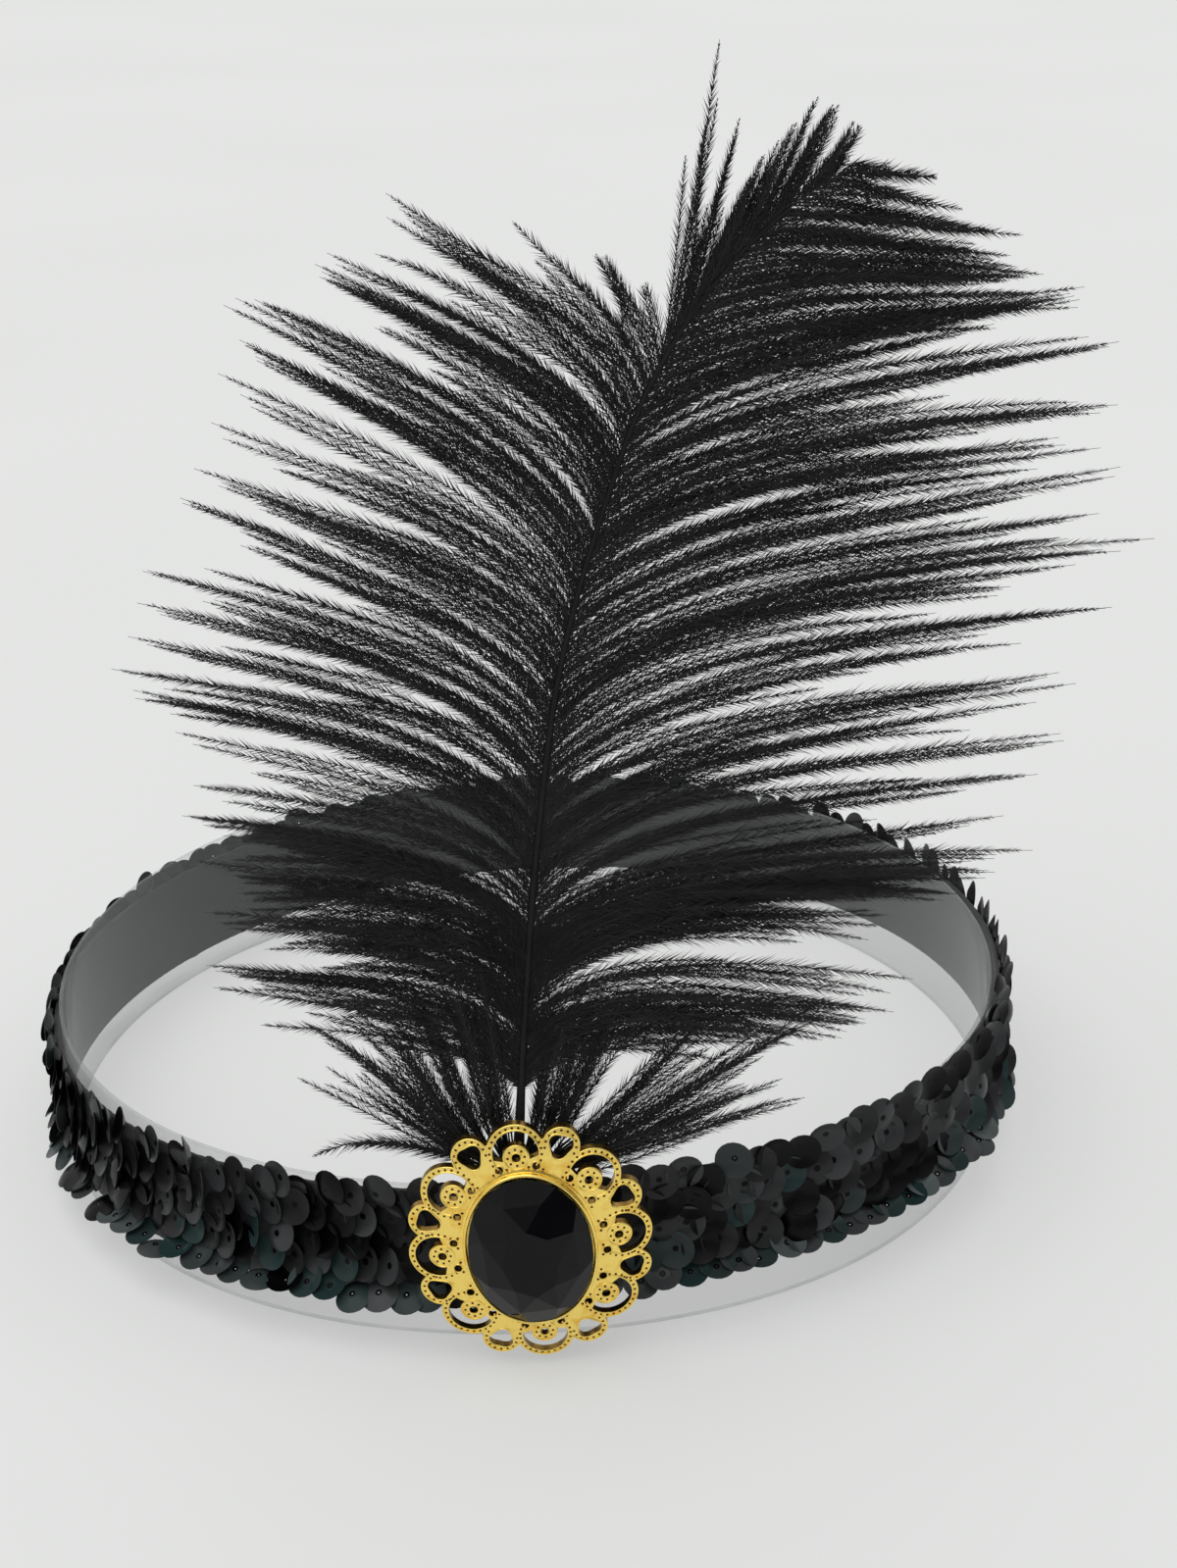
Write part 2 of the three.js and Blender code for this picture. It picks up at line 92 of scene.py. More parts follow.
# The brooch, drawn in a plane with x sideways, y up and z towards the front.
BROOCH_TILT = 6 * DEGREE
BROOCH_HEIGHT = 22.4
PLATE_BACK = -86.0
PLATE = 1.2
STONE_WIDTH = 18.5
STONE_LENGTH = 25
STONE_RISE = 4.6
BEZEL_WALL = 0.5
BEZEL_RISE = 1.2
LOBE_PAIRS = 8
LARGE_LOBE = 4.4
LARGE_LOBE_OUT = (3.9, 2.8)
SMALL_LOBE = 2.9
SMALL_LOBE_OUT = (5.5, 4.6)
ARCH_RIM = 1.0
LOOP = 2.0
LOOP_INSET = 0.65
LOOP_HOLE = 0.65
CRESCENT_REACH = 102 * DEGREE
SMALL_RIM = 1.15
STUD_HOLE = 0.6
STUD_HOLE_OUT = (1.35, 0.9)
DOME = 1.6
DOME_REACH = 8
SEAT_WIDTH = STONE_WIDTH / 2 + SEAT_GAP  # half the width and length inside the bezel
SEAT_LENGTH = STONE_LENGTH / 2 + SEAT_GAP

# The pad behind it.
PAD_INSET = 0.6
PAD_BACK = -82.3
PAD_THICKNESS = 3.4

# The plume.
QUILL_RADIUS = 0.9
SHAFT_END_RADIUS = 0.32
QUILL_SIDE = -1.4
QUILL_DEPTH = PAD_BACK - PAD_THICKNESS / 2
QUILL_FOOT = 12.7
PAD_TOP = BROOCH_HEIGHT + SEAT_LENGTH + BEZEL_WALL - PAD_INSET
PLUME_RISE = 144
PLUME_SHIFT = 53
PLUME_BOW = 14
LONGEST_BARB = 83
VANE_SWEEP = 0.14

SHAFT_TABLE = (  # shares of the plume's rise and shift
    (0, 0), (0.14, 0.03), (0.34, 0.087), (0.52, 0.167), (0.67, 0.29),
    (0.785, 0.415), (0.88, 0.587), (0.933, 0.735), (1, 1),
)
# Barbs: the root's share of the shaft, the reach as a share of the longest barb, and the angle
# in degrees from the shaft to the line from root to tip.
LEFT_BARBS = (
    (0.02, 0.42, 82), (0.07, 0.58, 79), (0.15, 0.62, 77), (0.22, 0.65, 75), (0.25, 0.72, 74),
    (0.31, 0.8, 72), (0.36, 0.77, 71), (0.44, 0.75, 70), (0.56, 0.73, 70), (0.6, 0.68, 70),
    (0.65, 0.63, 70), (0.67, 0.62, 69), (0.69, 0.56, 68), (0.715, 0.38, 60), (0.73, 0.24, 52),
    (0.745, 0.18, 40),
)
CREST_BARBS = (
    (0.743, 0.55, 23), (0.77, 0.36, 16), (0.8, 0.25, 13), (0.84, 0.25, 17), (0.88, 0.24, 20),
    (0.91, 0.17, 22), (0.94, 0.11, 20), (1, 0.08, 15),
)
RIGHT_BARBS = (
    (0.02, 0.48, 86), (0.095, 0.65, 82), (0.13, 0.78, 79), (0.19, 0.89, 75), (0.25, 1.0, 71),
    (0.31, 1.0, 69), (0.37, 1.03, 67), (0.45, 1.05, 65), (0.51, 1.0, 62), (0.62, 0.9, 58),
    (0.7, 0.77, 55), (0.79, 0.63, 52), (0.85, 0.5, 50), (0.9, 0.38, 47), (0.94, 0.22, 44),
    (0.97, 0.12, 40), (1, 0.08, 30),
)
ROOT_ANGLE = 32  # degrees between the shaft and a barb at its root
BEND_SHARE = 0.35  # the share of a barb over which it does most of its bending
SHAFT_SHOWN = 0.91  # the share of the shaft that isn't hidden in the last barbs
# Barbs that fan out from behind the brooch, as the corners of cubic curves.
FOOT_ROOT = (QUILL_SIDE, QUILL_DEPTH, 33)
LEFT_FOOT = (
    ((-3.5, -83, 36), (-4, -81, 52), (-5, -80, 67)),
    ((-5.5, -83, 36), (-7, -81, 52), (-10, -80, 67)),
    ((-7.5, -83, 35), (-11, -81, 50), (-17, -79, 64)),
    ((-9, -83, 34), (-13, -81, 51), (-24, -79, 60)),
    ((-9, -83, 34), (-14, -81, 48), (-29, -79, 57)),
    ((-9.5, -83.4, 33.5), (-17, -81, 42), (-31, -79, 52)),
)
RIGHT_FOOT = (
    ((2, -83, 36), (3.5, -81, 50), (6, -80, 65)),
    ((4, -83, 36), (6, -81, 49), (12, -79, 63)),
    ((5, -83, 35.5), (9, -81, 48), (18, -79, 60)),
    ((7, -83, 35), (15, -81, 45), (30, -79, 58)),
    ((9, -83, 34.5), (20, -81, 43), (43, -78, 56)),
    ((10, -83.4, 34), (22, -81.5, 40), (43, -78, 47)),
    ((10, -83.6, 33.5), (20, -82, 37), (38, -79, 43)),
)
FOOT_SCATTER = ((0.3, 0.2, 0.5), (1, 0.3, 0.8), (1.5, 1, 1.5), (2.6, 2, 2.2))
LONE_BARB = ((-12, -82.5, 35.5), (-22, -80, 41), (-32.5, -77.5, 32.5))
# How long the barbules are along a barb, as shares of their length.
FLUFF_PROFILE = (
    (0, 0.75), (0.12, 0.9), (0.3, 1), (0.68, 1), (0.85, 0.72), (0.96, 0.3), (1, 0.1),
)


# Meshes
def unit(vectors):
    return vectors / np.linalg.norm(vectors, axis=-1, keepdims=True)


def smooth_step(values):
    values = np.clip(values, 0, 1)
    return values * values * (3 - 2 * values)


def joined(parts):
    """Points and faces of several (points, faces) parts as one."""
    points, faces, first = [], [], 0
    for part_points, part_faces in parts:
        points.append(part_points)
        faces.append(part_faces + first)
        first += len(part_points)
    return np.concatenate(points), np.concatenate(faces)


def grid_faces(rows, columns, close_rows=False):
    """Quads between neighbours in a grid of points whose columns close on themselves."""
    row = np.arange(rows if close_rows else rows - 1)[:, None]
    column = np.arange(columns)[None, :]
    after = (row + 1) % rows
    beside = (column + 1) % columns
    corners = [row * columns + column, row * columns + beside,
               after * columns + beside, after * columns + column]
    return np.stack(np.broadcast_arrays(*corners), -1).reshape(-1, 4)


def mesh_from(name, points, face_sets):
    corners = np.concatenate([faces.ravel() for faces in face_sets]).astype(np.int32)
    sizes = np.concatenate([np.full(len(faces), faces.shape[1]) for faces in face_sets])
    starts = np.concatenate([[0], np.cumsum(sizes)[:-1]]).astype(np.int32)
    mesh = bpy.data.meshes.new(name)
    mesh.vertices.add(len(points))
    mesh.vertices.foreach_set("co", (np.asarray(points) * MM).astype(np.float32).ravel())
    mesh.loops.add(len(corners))
    mesh.loops.foreach_set("vertex_index", corners)
    mesh.polygons.add(len(sizes))
    mesh.polygons.foreach_set("loop_start", starts)
    mesh.update(calc_edges=True)
    mesh.validate()
    return mesh


def smooth(mesh, sharp_angle):
    """Smooth shading, but for the edges that turn by more than an angle."""
    mesh.polygons.foreach_set("use_smooth", np.ones(len(mesh.polygons), bool))
    mesh.set_sharp_from_angle(angle=sharp_angle)


def new_object(name, mesh, materials, sharp_angle=None):
    item = bpy.data.objects.new(name, mesh)
    bpy.context.scene.collection.objects.link(item)
    for material in materials if isinstance(materials, list) else [materials]:
        mesh.materials.append(material)
    if sharp_angle is not None:
        smooth(mesh, sharp_angle)
    return item


def dress(item, slot, *nodes):
    """The finished piece rides on the one body and replaces CAD nodes; its slot is not used."""
    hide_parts(*nodes)
    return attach(item, "root")


def set_tone(mesh, values):
    """A number for each vertex, which the materials read as their tone."""
    layer = mesh.attributes.new("tone", "FLOAT", "POINT")
    layer.data.foreach_set("value", np.asarray(values, np.float32))


def without_modifiers(item):
    """The item's evaluated mesh takes the place of its own."""
    graph = bpy.context.evaluated_depsgraph_get()
    mesh = bpy.data.meshes.new_from_object(item.evaluated_get(graph))
    item.modifiers.clear()
    item.data = mesh
    return item


def combined(item, cutters, operation):
    """Cuts the item by each cutter, or keeps what lies in it."""
    group = bpy.data.collections.new("cutters")
    for cutter in cutters:
        group.objects.link(cutter)
    change = item.modifiers.new("cut", "BOOLEAN")
    change.operation = operation
    change.operand_type = "COLLECTION"
    change.collection = group
    without_modifiers(item)
    for cutter in cutters:
        bpy.data.objects.remove(cutter)
    bpy.data.collections.remove(group)
    return item


def tubes(paths, radii, sides, flat_normal, close=False):
    """Tubes along many paths at once. paths is (count, steps, 3) and radii fits (count, steps)."""
    if close:
        tangent = unit(np.roll(paths, -1, 1) - np.roll(paths, 1, 1))
    else:
        tangent = unit(np.gradient(paths, axis=1))
    across = unit(np.cross(tangent, flat_normal))
    up = np.cross(across, tangent)
    angle = 2 * np.pi * np.arange(sides) / sides
    ring = (np.cos(angle)[:, None] * across[:, :, None, :]
            + np.sin(angle)[:, None] * up[:, :, None, :])
    radii = np.broadcast_to(radii, paths.shape[:2])[:, :, None, None]
    points = paths[:, :, None, :] + radii * ring
    count, steps = paths.shape[:2]
    faces = grid_faces(steps, sides, close)
    starts = np.arange(count)[:, None, None] * steps * sides
    all_faces = (faces[None] + starts).reshape(-1, 4)
    return points.reshape(-1, 3), all_faces


# Materials
RANGE_SOCKETS = ("From Min", "From Max", "To Min", "To Max")


class Finish:
    """A material with a Principled shader, and short ways to drive its sockets."""

    def __init__(self, name, **sockets):
        self.material = bpy.data.materials.new(name)
        self.material.use_nodes = True
        self.tree = self.material.node_tree
        self.shader = self.tree.nodes["Principled BSDF"]
        for socket, value in sockets.items():
            self.shader.inputs[socket.replace("_", " ")].default_value = value
        self.place = self.tree.nodes.new("ShaderNodeTexCoord").outputs["Object"]

    def node(self, kind, **settings):
        made = self.tree.nodes.new(kind)
        for key, value in settings.items():
            setattr(made, key, value)
        return made

    def link(self, source, target):
        self.tree.links.new(source, target)

    def noise(self, size, detail=3.0, stretch=(1, 1, 1)):
        """Noise whose blotches are about size millimetres across."""
        mapping = self.node("ShaderNodeMapping")
        mapping.inputs["Scale"].default_value = [share / (size * MM) for share in stretch]
        texture = self.node("ShaderNodeTexNoise")
        texture.inputs["Scale"].default_value = 1
        texture.inputs["Detail"].default_value = detail
        self.link(self.place, mapping.inputs["Vector"])
        self.link(mapping.outputs[0], texture.inputs["Vector"])
        return texture.outputs["Fac"]

    def attribute(self, name):
        return self.node("ShaderNodeAttribute", attribute_name=name).outputs["Fac"]

    def ramp(self, source, *stops):
        """Colours by the source's value, from (value, colour) stops."""
        ramp = self.node("ShaderNodeValToRGB")
        elements = ramp.color_ramp.elements
        while len(elements) < len(stops):
            elements.new(0.5)
        for element, (value, colour) in zip(elements, stops):
            element.position = value
            element.color = (*colour, 1)
        self.link(source, ramp.inputs["Fac"])
        return ramp.outputs["Color"]

    def range(self, source, low, high, first, last):
        remap = self.node("ShaderNodeMapRange")
        for socket, value in zip(RANGE_SOCKETS, (low, high, first, last)):
            remap.inputs[socket].default_value = value
        self.link(source, remap.inputs["Value"])
        return remap.outputs["Result"]

    def drive(self, socket, source):
        self.link(source, self.shader.inputs[socket])

    def bump(self, source, depth):
        """A relief of depth millimetres."""
        bump = self.node("ShaderNodeBump")
        bump.inputs["Distance"].default_value = depth * MM
        bump.inputs["Strength"].default_value = 1
        self.link(source, bump.inputs["Height"])
        self.link(bump.outputs["Normal"], self.shader.inputs["Normal"])


def clear_wall():
    finish = Finish("clear_wall", Base_Color=(0.4, 0.41, 0.415, 1), IOR=1.49)
    weight = finish.node("ShaderNodeLayerWeight")
    weight.inputs["Blend"].default_value = 0.35
    finish.drive("Alpha", finish.range(weight.outputs["Facing"], 0.1, 1, 0.09, 0.45))
    finish.drive("Roughness", finish.range(finish.noise(12), 0.3, 0.7, 0.04, 0.14))
    return finish.material


def clear_edge():
    finish = Finish("clear_edge", Base_Color=(0.36, 0.38, 0.385, 1), IOR=1.49)
    finish.drive("Alpha", finish.range(finish.noise(9), 0.3, 0.7, 0.2, 0.34))
    finish.drive("Roughness", finish.range(finish.noise(3), 0.3, 0.7, 0.1, 0.25))
    return finish.material


def black_elastic():
    finish = Finish("black_elastic", Roughness=0.8, Sheen_Weight=0.15)
    finish.drive("Base Color", finish.ramp(
        finish.noise(6), (0.35, (0.012, 0.0125, 0.013)), (0.65, (0.024, 0.025, 0.026))))
    finish.bump(finish.noise(0.5, stretch=(1, 1, 3)), 0.08)
    return finish.material


def black_sequin():
    finish = Finish("black_sequin", Specular_IOR_Level=0.14)
    tone = finish.attribute("tone")
    # Tone 0, each sequin's middle, is painted shade. Tones from 0.8 up, given to the upturned
    # lowest course, are painted light. The tones between differ at random.
    finish.drive("Base Color", finish.ramp(
        tone, (0.0, (0.001, 0.001, 0.0012)), (0.3, (0.002, 0.002, 0.0025)),
        (0.38, (0.017, 0.017, 0.018)), (0.7, (0.05, 0.052, 0.054)),
        (0.8, (0.018, 0.04, 0.038)), (0.88, (0.06, 0.063, 0.065)), (1.0, (0.11, 0.135, 0.135))))
    finish.drive("Roughness", finish.range(tone, 0, 1, 0.36, 0.24))
    finish.bump(finish.noise(1.2), 0.02)
    return finish.material


def gilt(name, bright, deep):
    """Gold that darkens in blotches."""
    finish = Finish(name, Metallic=1.0)
    finish.drive("Base Color", finish.ramp(
        finish.noise(2.2, detail=5), (0.3, deep), (0.5, bright)))
    finish.drive("Roughness", finish.range(finish.noise(0.9), 0.3, 0.7, 0.22, 0.38))
    finish.bump(finish.noise(0.5), 0.015)
    return finish.material


def black_stone():
    finish = Finish("black_stone", Specular_IOR_Level=0.17)
    finish.drive("Base Color", finish.ramp(
        finish.noise(8), (0.3, (0.002, 0.002, 0.0025)), (0.7, (0.004, 0.004, 0.005))))
    finish.drive("Roughness", finish.range(finish.noise(3), 0.3, 0.7, 0.03, 0.07))
    return finish.material


def black_felt():
    finish = Finish("black_felt", Roughness=0.95, Sheen_Weight=0.4)
    finish.drive("Base Color", finish.ramp(
        finish.noise(0.8), (0.3, (0.006, 0.006, 0.007)), (0.7, (0.02, 0.02, 0.022))))
    finish.bump(finish.noise(0.3), 0.15)
    return finish.material


def black_feather(name, dark, light, rough, shine=0.4):
    finish = Finish(name, Specular_IOR_Level=shine)
    finish.drive("Base Color", finish.ramp(finish.noise(7), (0.35, dark), (0.65, light)))
    finish.drive("Roughness", finish.range(finish.noise(2.5), 0.3, 0.7, rough - 0.08, rough + 0.08))
    return finish.material


# The hoop and the band
def hoop_outline(angle):
    """The hoop's outer radius at an angle from the front."""
    wrapped = np.arctan2(np.sin(angle), np.cos(angle))
    return HOOP_RADIUS - FRONT_FLAT * np.exp(-0.5 * (wrapped / FRONT_FLAT_SPREAD) ** 2)


def ring_points(angle, out, z):
    radius = hoop_outline(angle) + out
    angle, z = np.broadcast_arrays(angle, np.asarray(z, float))
    return np.stack([radius * np.sin(angle), -radius * np.cos(angle), z], -1)


def band_lift(angle):
    return BAND_LIFT + BAND_TILT * np.cos(angle - BAND_TILT_SIDE)


def rounded_section(inner, outer, foot, top, corner, across=2, up=2):
    """A rectangle's outline with softened corners, as [out, z] rows."""
    points = []
    corners = ((outer, foot, -90), (outer, top, 0), (inner, top, 90), (inner, foot, 180))
    for out, z, start in corners:
        centre = (out - corner * np.sign(out - (inner + outer) / 2),
                  z - corner * np.sign(z - (foot + top) / 2))
        for turn in np.linspace(start, start + 90, 4) * DEGREE:
            points.append((centre[0] + corner * np.cos(turn), centre[1] + corner * np.sin(turn)))
    points = np.array(points)
    rows = []
    for i, point in enumerate(points):
        after = points[(i + 1) % len(points)]
        wide = abs(after[0] - point[0]) > 2 * corner and across
        tall = abs(after[1] - point[1]) > 2 * corner and up
        pieces = max(int(wide), int(tall), 1)
        rows += [point + (after - point) * k / pieces for k in range(pieces)]
    return np.array(rows)


def ring_solid(section, stations):
    angle = 2 * np.pi * np.arange(stations)[:, None] / stations
    points = ring_points(angle, section[None, :, 0], section[None, :, 1])
    return points.reshape(-1, 3), grid_faces(stations, len(section), close_rows=True)


def make_hoop():
    section = rounded_section(-HOOP_WALL, 0, 0, HOOP_HEIGHT, 0.22)
    points, faces = ring_solid(section, 288)
    mesh = mesh_from("display_hoop_clear", points, [faces])
    item = new_object("display_hoop_clear", mesh, [clear_wall(), clear_edge()], 50 * DEGREE)
    heights = points[faces][:, :, 2].mean(1)
    at_edge = (heights < 0.3) | (heights > HOOP_HEIGHT - 0.3)
    mesh.polygons.foreach_set("material_index", at_edge.astype(np.int32))
    return dress(item, "clear_plastic", "display_hoop")


def make_band():
    stations = 480
    section = rounded_section(SEAT_GAP, SEAT_GAP + BAND_WALL, BAND_FOOT, BAND_FOOT + BAND_HEIGHT,
                              0.3, up=12)
    rib = 0.05 * np.cos(np.pi * np.arange(stations))[:, None]
    course = 0.03 * np.cos(2 * np.pi * section[None, :, 1] / 1.6)
    angle = 2 * np.pi * np.arange(stations)[:, None] / stations
    outward = np.sign(section[None, :, 0] - SEAT_GAP - BAND_WALL / 2)
    out = section[None, :, 0] + outward * (rib + course - 0.08)
    points = ring_points(angle, out, section[None, :, 1] + band_lift(angle)).reshape(-1, 3)
    mesh = mesh_from("elastic_band_knit", points, [grid_faces(stations, len(section), True)])
    item = new_object("elastic_band_knit", mesh, black_elastic(), 60 * DEGREE)
    dress(item, "black_elastic", "elastic_band")


# The sequins
def sequin_template():
    """A cupped disc with a hole, its hollow side up: points (n, 3) and faces."""
    sides = 20
    angle = 2 * np.pi * np.arange(sides) / sides
    rows = []
    half = SEQUIN_SHEET / 2
    radii = (SEQUIN_HOLE, SEQUIN_EYE, SEQUIN_EYE + 0.12, SEQUIN_FLAT, SEQUIN_RADIUS)
    profile = [(radius, half) for radius in radii] + [(radius, -half) for radius in radii[::-1]]
    for radius, level in profile:
        cup = SEQUIN_CUP * max(radius - SEQUIN_FLAT, 0) / (SEQUIN_RADIUS - SEQUIN_FLAT)
        level = np.full(sides, level + cup)
        rows.append(np.stack([radius * np.cos(angle), radius * np.sin(angle), level], -1))
    return np.concatenate(rows), grid_faces(len(rows), sides, close_rows=True)


def make_sequins(course, material):
    random = np.random.default_rng(100 + course)
    count = SEQUINS_PER_COURSE
    step = 2 * np.pi / count
    angle = step * (np.arange(count) + 0.5 * (course % 2) + random.uniform(-0.2, 0.2, count))
    height = COURSE_HEIGHTS[course] + band_lift(angle)
    height += np.clip(random.normal(0, 0.35, count), -0.6, 0.7)
    lifted = random.random(count) < 0.08
    if course == COURSE_COUNT - 1:
        height += 0.5 * (-1.0) ** np.arange(count) + lifted

    # Turned about the upright, so that the edge towards the wearer's left stands out, and
    # leaning, so that the lower edge does.
    turn = random.normal(COURSE_TURN, 5, count)
    turn += np.where(lifted, random.choice([-18, 18], count), 0)
    lean = random.normal(COURSE_LEANS[course], 6, count)
    if course == 0:
        lean += LOW_SPLAY * smooth_step(1.4 * np.cos(angle)) * random.uniform(0.6, 1.1, count)
    front = np.exp(-((np.arctan2(np.sin(angle), np.cos(angle)) / (13 * DEGREE)) ** 4))
    turn *= 1 - 0.5 * front
    lean *= 1 - 0.7 * front
    spin = random.uniform(0, 2 * np.pi, count)
    flip = np.where(random.random(count) < 0.2, -1.0, 1.0)

    normal = np.stack([np.sin(angle), -np.cos(angle), np.zeros(count)], -1)
    along = np.stack([np.cos(angle), np.sin(angle), np.zeros(count)], -1)
    up = np.array([0, 0, 1.0])
    turn, lean = turn[:, None] * DEGREE, lean[:, None] * DEGREE
    inward = np.hypot(np.sin(turn), np.sin(lean) * np.cos(turn))[:, 0]
    out = SEQUIN_SEAT + SEQUIN_RADIUS * inward + np.abs(random.normal(0, 0.1, count))
    out += np.where(flip < 0, SEQUIN_CUP, 0)
    side = along * np.cos(turn) + normal * np.sin(turn)
    face = normal * np.cos(turn) - along * np.sin(turn)
    rise = up * np.cos(lean) - face * np.sin(lean)
    face = face * np.cos(lean) + up * np.sin(lean)
    spun_side = side * np.cos(spin)[:, None] + rise * np.sin(spin)[:, None]
    spun_rise = rise * np.cos(spin)[:, None] - side * np.sin(spin)[:, None]

    template, faces = sequin_template()
    centres = ring_points(angle, out, height)
    sheet = template[None, :, 2] * flip[:, None]
    points = (centres[:, None, :]
              + template[None, :, 0, None] * spun_side[:, None, :]
              + template[None, :, 1, None] * spun_rise[:, None, :]
              + sheet[:, :, None] * face[:, None, :])
    starts = np.arange(count)[:, None, None] * len(template)
    all_faces = faces[None] + starts
    all_faces = np.where(flip[:, None, None] < 0, all_faces[:, :, ::-1], all_faces)
    name = f"sequins_{course + 1}"
    mesh = mesh_from(name, points.reshape(-1, 3), [all_faces.reshape(-1, 4)])
    tone = 0.8 * random.random(count)
    # Most of the lowest course faces up to the light and gets the lighter tones from 0.8 up:
    # painted light.
    if course == 0:
        tone = np.where(random.random(count) < 0.85, 0.8 + 0.25 * tone, tone)
    # Each sequin's middle gets tone 0, the darkest black: painted shade.
    lit = np.hypot(template[:, 0], template[:, 1]) > SEQUIN_EYE + 0.01
    set_tone(mesh, (tone[:, None] * lit).ravel())
    item = new_object(name, mesh, material, 40 * DEGREE)
    return dress(item, "black_sequin", f"sequin_course_{course + 1}")


# The brooch
def brooch_place(points):
    """Points of the brooch's plane, as places in the frame."""
    x, y, z = points[..., 0], points[..., 1], points[..., 2]
    cosine, sine = math.cos(BROOCH_TILT), math.sin(BROOCH_TILT)
    return np.stack([x * cosine - y * sine, PLATE_BACK - z,
                     BROOCH_HEIGHT + x * sine + y * cosine], -1)


def dome_back(x, y):
    """How far the border curves back at a point."""
    scale = np.maximum(np.hypot(x / SEAT_WIDTH, y / SEAT_LENGTH), 1)
    beyond = np.maximum(np.hypot(x, y) * (1 - 1 / scale) - BEZEL_WALL, 0)
    return DOME * (beyond / DOME_REACH) ** 1.5


def border_point(out, step):
    """A point of the border, step pairs of lobes from the top and out from the bezel."""
    angle = np.pi / 2 + 2 * np.pi * step / LOBE_PAIRS
    width = SEAT_WIDTH + BEZEL_WALL + out[0]
    length = SEAT_LENGTH + BEZEL_WALL + out[1]
    radius = 1 / math.hypot(math.cos(angle) / width, math.sin(angle) / length)
    return np.array([radius * math.cos(angle), radius * math.sin(angle)])


def arc(centre, radius, first, last, count):
    angle = np.linspace(first, last, count)
    return centre + radius * np.stack([np.cos(angle), np.sin(angle)], -1)


def circle(centre, radius, count):
    return arc(centre, radius, 0, 2 * np.pi * (1 - 1 / count), count)


def teardrop(centre, radius, count=24):
    """A rounded triangle with a corner towards the brooch's centre."""
    inward = math.atan2(-centre[1], -centre[0])
    angle = np.linspace(0, 2 * np.pi, count, endpoint=False)
    reach = radius * (1 + 0.13 * np.cos(3 * (angle - inward)))
    return centre + reach[:, None] * np.stack([np.cos(angle), np.sin(angle)], -1)


def border_outline(samples, inset=0.0):
    """The furthest lobe in each direction."""
    lobes = []
    for k in range(LOBE_PAIRS):
        lobes.append((border_point(LARGE_LOBE_OUT, k), LARGE_LOBE - inset))
        lobes.append((border_point(SMALL_LOBE_OUT, k + 0.5), SMALL_LOBE - inset))
    angle = 2 * np.pi * np.arange(samples) / samples
    direction = np.stack([np.cos(angle), np.sin(angle)], -1)
    reach = np.zeros(samples)
    for centre, radius in lobes:
        forward = direction @ centre
        square = radius**2 - (centre @ centre - forward**2)
        far = forward + np.sqrt(np.maximum(square, 0))
        reach = np.maximum(reach, np.where((square > 0) & (forward > 0), far, 0))
    return direction * reach[:, None]


def prism(name, outline, back, depth):
    """A closed prism over an outline of the brooch's plane, still in that plane."""
    count = len(outline)
    low = np.column_stack([outline, np.full(count, back)])
    high = np.column_stack([outline, np.full(count, back + depth)])
    caps = np.stack([np.arange(count)[::-1], np.arange(count) + count])
    mesh = mesh_from(name, np.concatenate([low, high]), [grid_faces(2, count), caps])
    return new_object(name, mesh, [])


def mesh_points(mesh):
    points = np.empty(len(mesh.vertices) * 3, np.float32)
    mesh.vertices.foreach_get("co", points)
    return points.reshape(-1, 3) / MM


def place_points(item, points):
    item.data.vertices.foreach_set("co", (points * MM).astype(np.float32).ravel())
    item.data.update()


def large_lobe(k):
    centre = border_point(LARGE_LOBE_OUT, k)
    loop = centre * (1 - LOOP_INSET / np.linalg.norm(centre))
    return centre, loop, math.atan2(centre[1], centre[0])


def plate_blank(samples=480):
    """The border before it is pierced, in rings that can follow its dome."""
    outline = border_outline(samples)
    shares = (0.5, 0.64, 0.72, 0.8, 0.87, 0.94, 1)
    top = [np.column_stack([outline * share, np.full(samples, PLATE)]) for share in shares]
    back = [np.column_stack([outline * share, np.zeros(samples)]) for share in shares[::-1]]
    rows = len(shares) * 2
    faces = grid_faces(rows, samples)[:, ::-1]
    caps = np.stack([np.arange(samples), np.arange(samples)[::-1] + (rows - 1) * samples])
    return new_object("brooch_plate", mesh_from("brooch_plate", np.concatenate(top + back),
                                                [faces, caps]), [])


def pierced_plate(material):
    plate = plate_blank()
    plate.data.materials.append(material)
    cutters = []
    for k in range(LOBE_PAIRS):
        centre, loop, outward = large_lobe(k)
        outer = arc(centre, LARGE_LOBE - ARCH_RIM, outward - CRESCENT_REACH,
                    outward + CRESCENT_REACH, 26)
        inner = arc(loop, LOOP, outward + CRESCENT_REACH, outward - CRESCENT_REACH, 18)
        outlines = [np.concatenate([outer, inner]), circle(loop, LOOP_HOLE, 16)]
        small = border_point(SMALL_LOBE_OUT, k + 0.5)
        outlines.append(teardrop(small, SMALL_LOBE - SMALL_RIM))
        for step in (0.25, 0.75):
            outlines.append(circle(border_point(STUD_HOLE_OUT, k + step), STUD_HOLE, 14))
        cutters += [prism(f"cut_{k}_{i}", outline, -PLATE, 3 * PLATE)
                    for i, outline in enumerate(outlines)]
    return combined(plate, cutters, "DIFFERENCE")


def wire_along(line, radius, level, close=False, sides=8):
    """A wire that lies on the plate along a line of its plane."""
    path = np.column_stack([line, np.full(len(line), PLATE + level)])
    return tubes(path[None], radius, sides, np.array([0, 0, 1.0]), close)


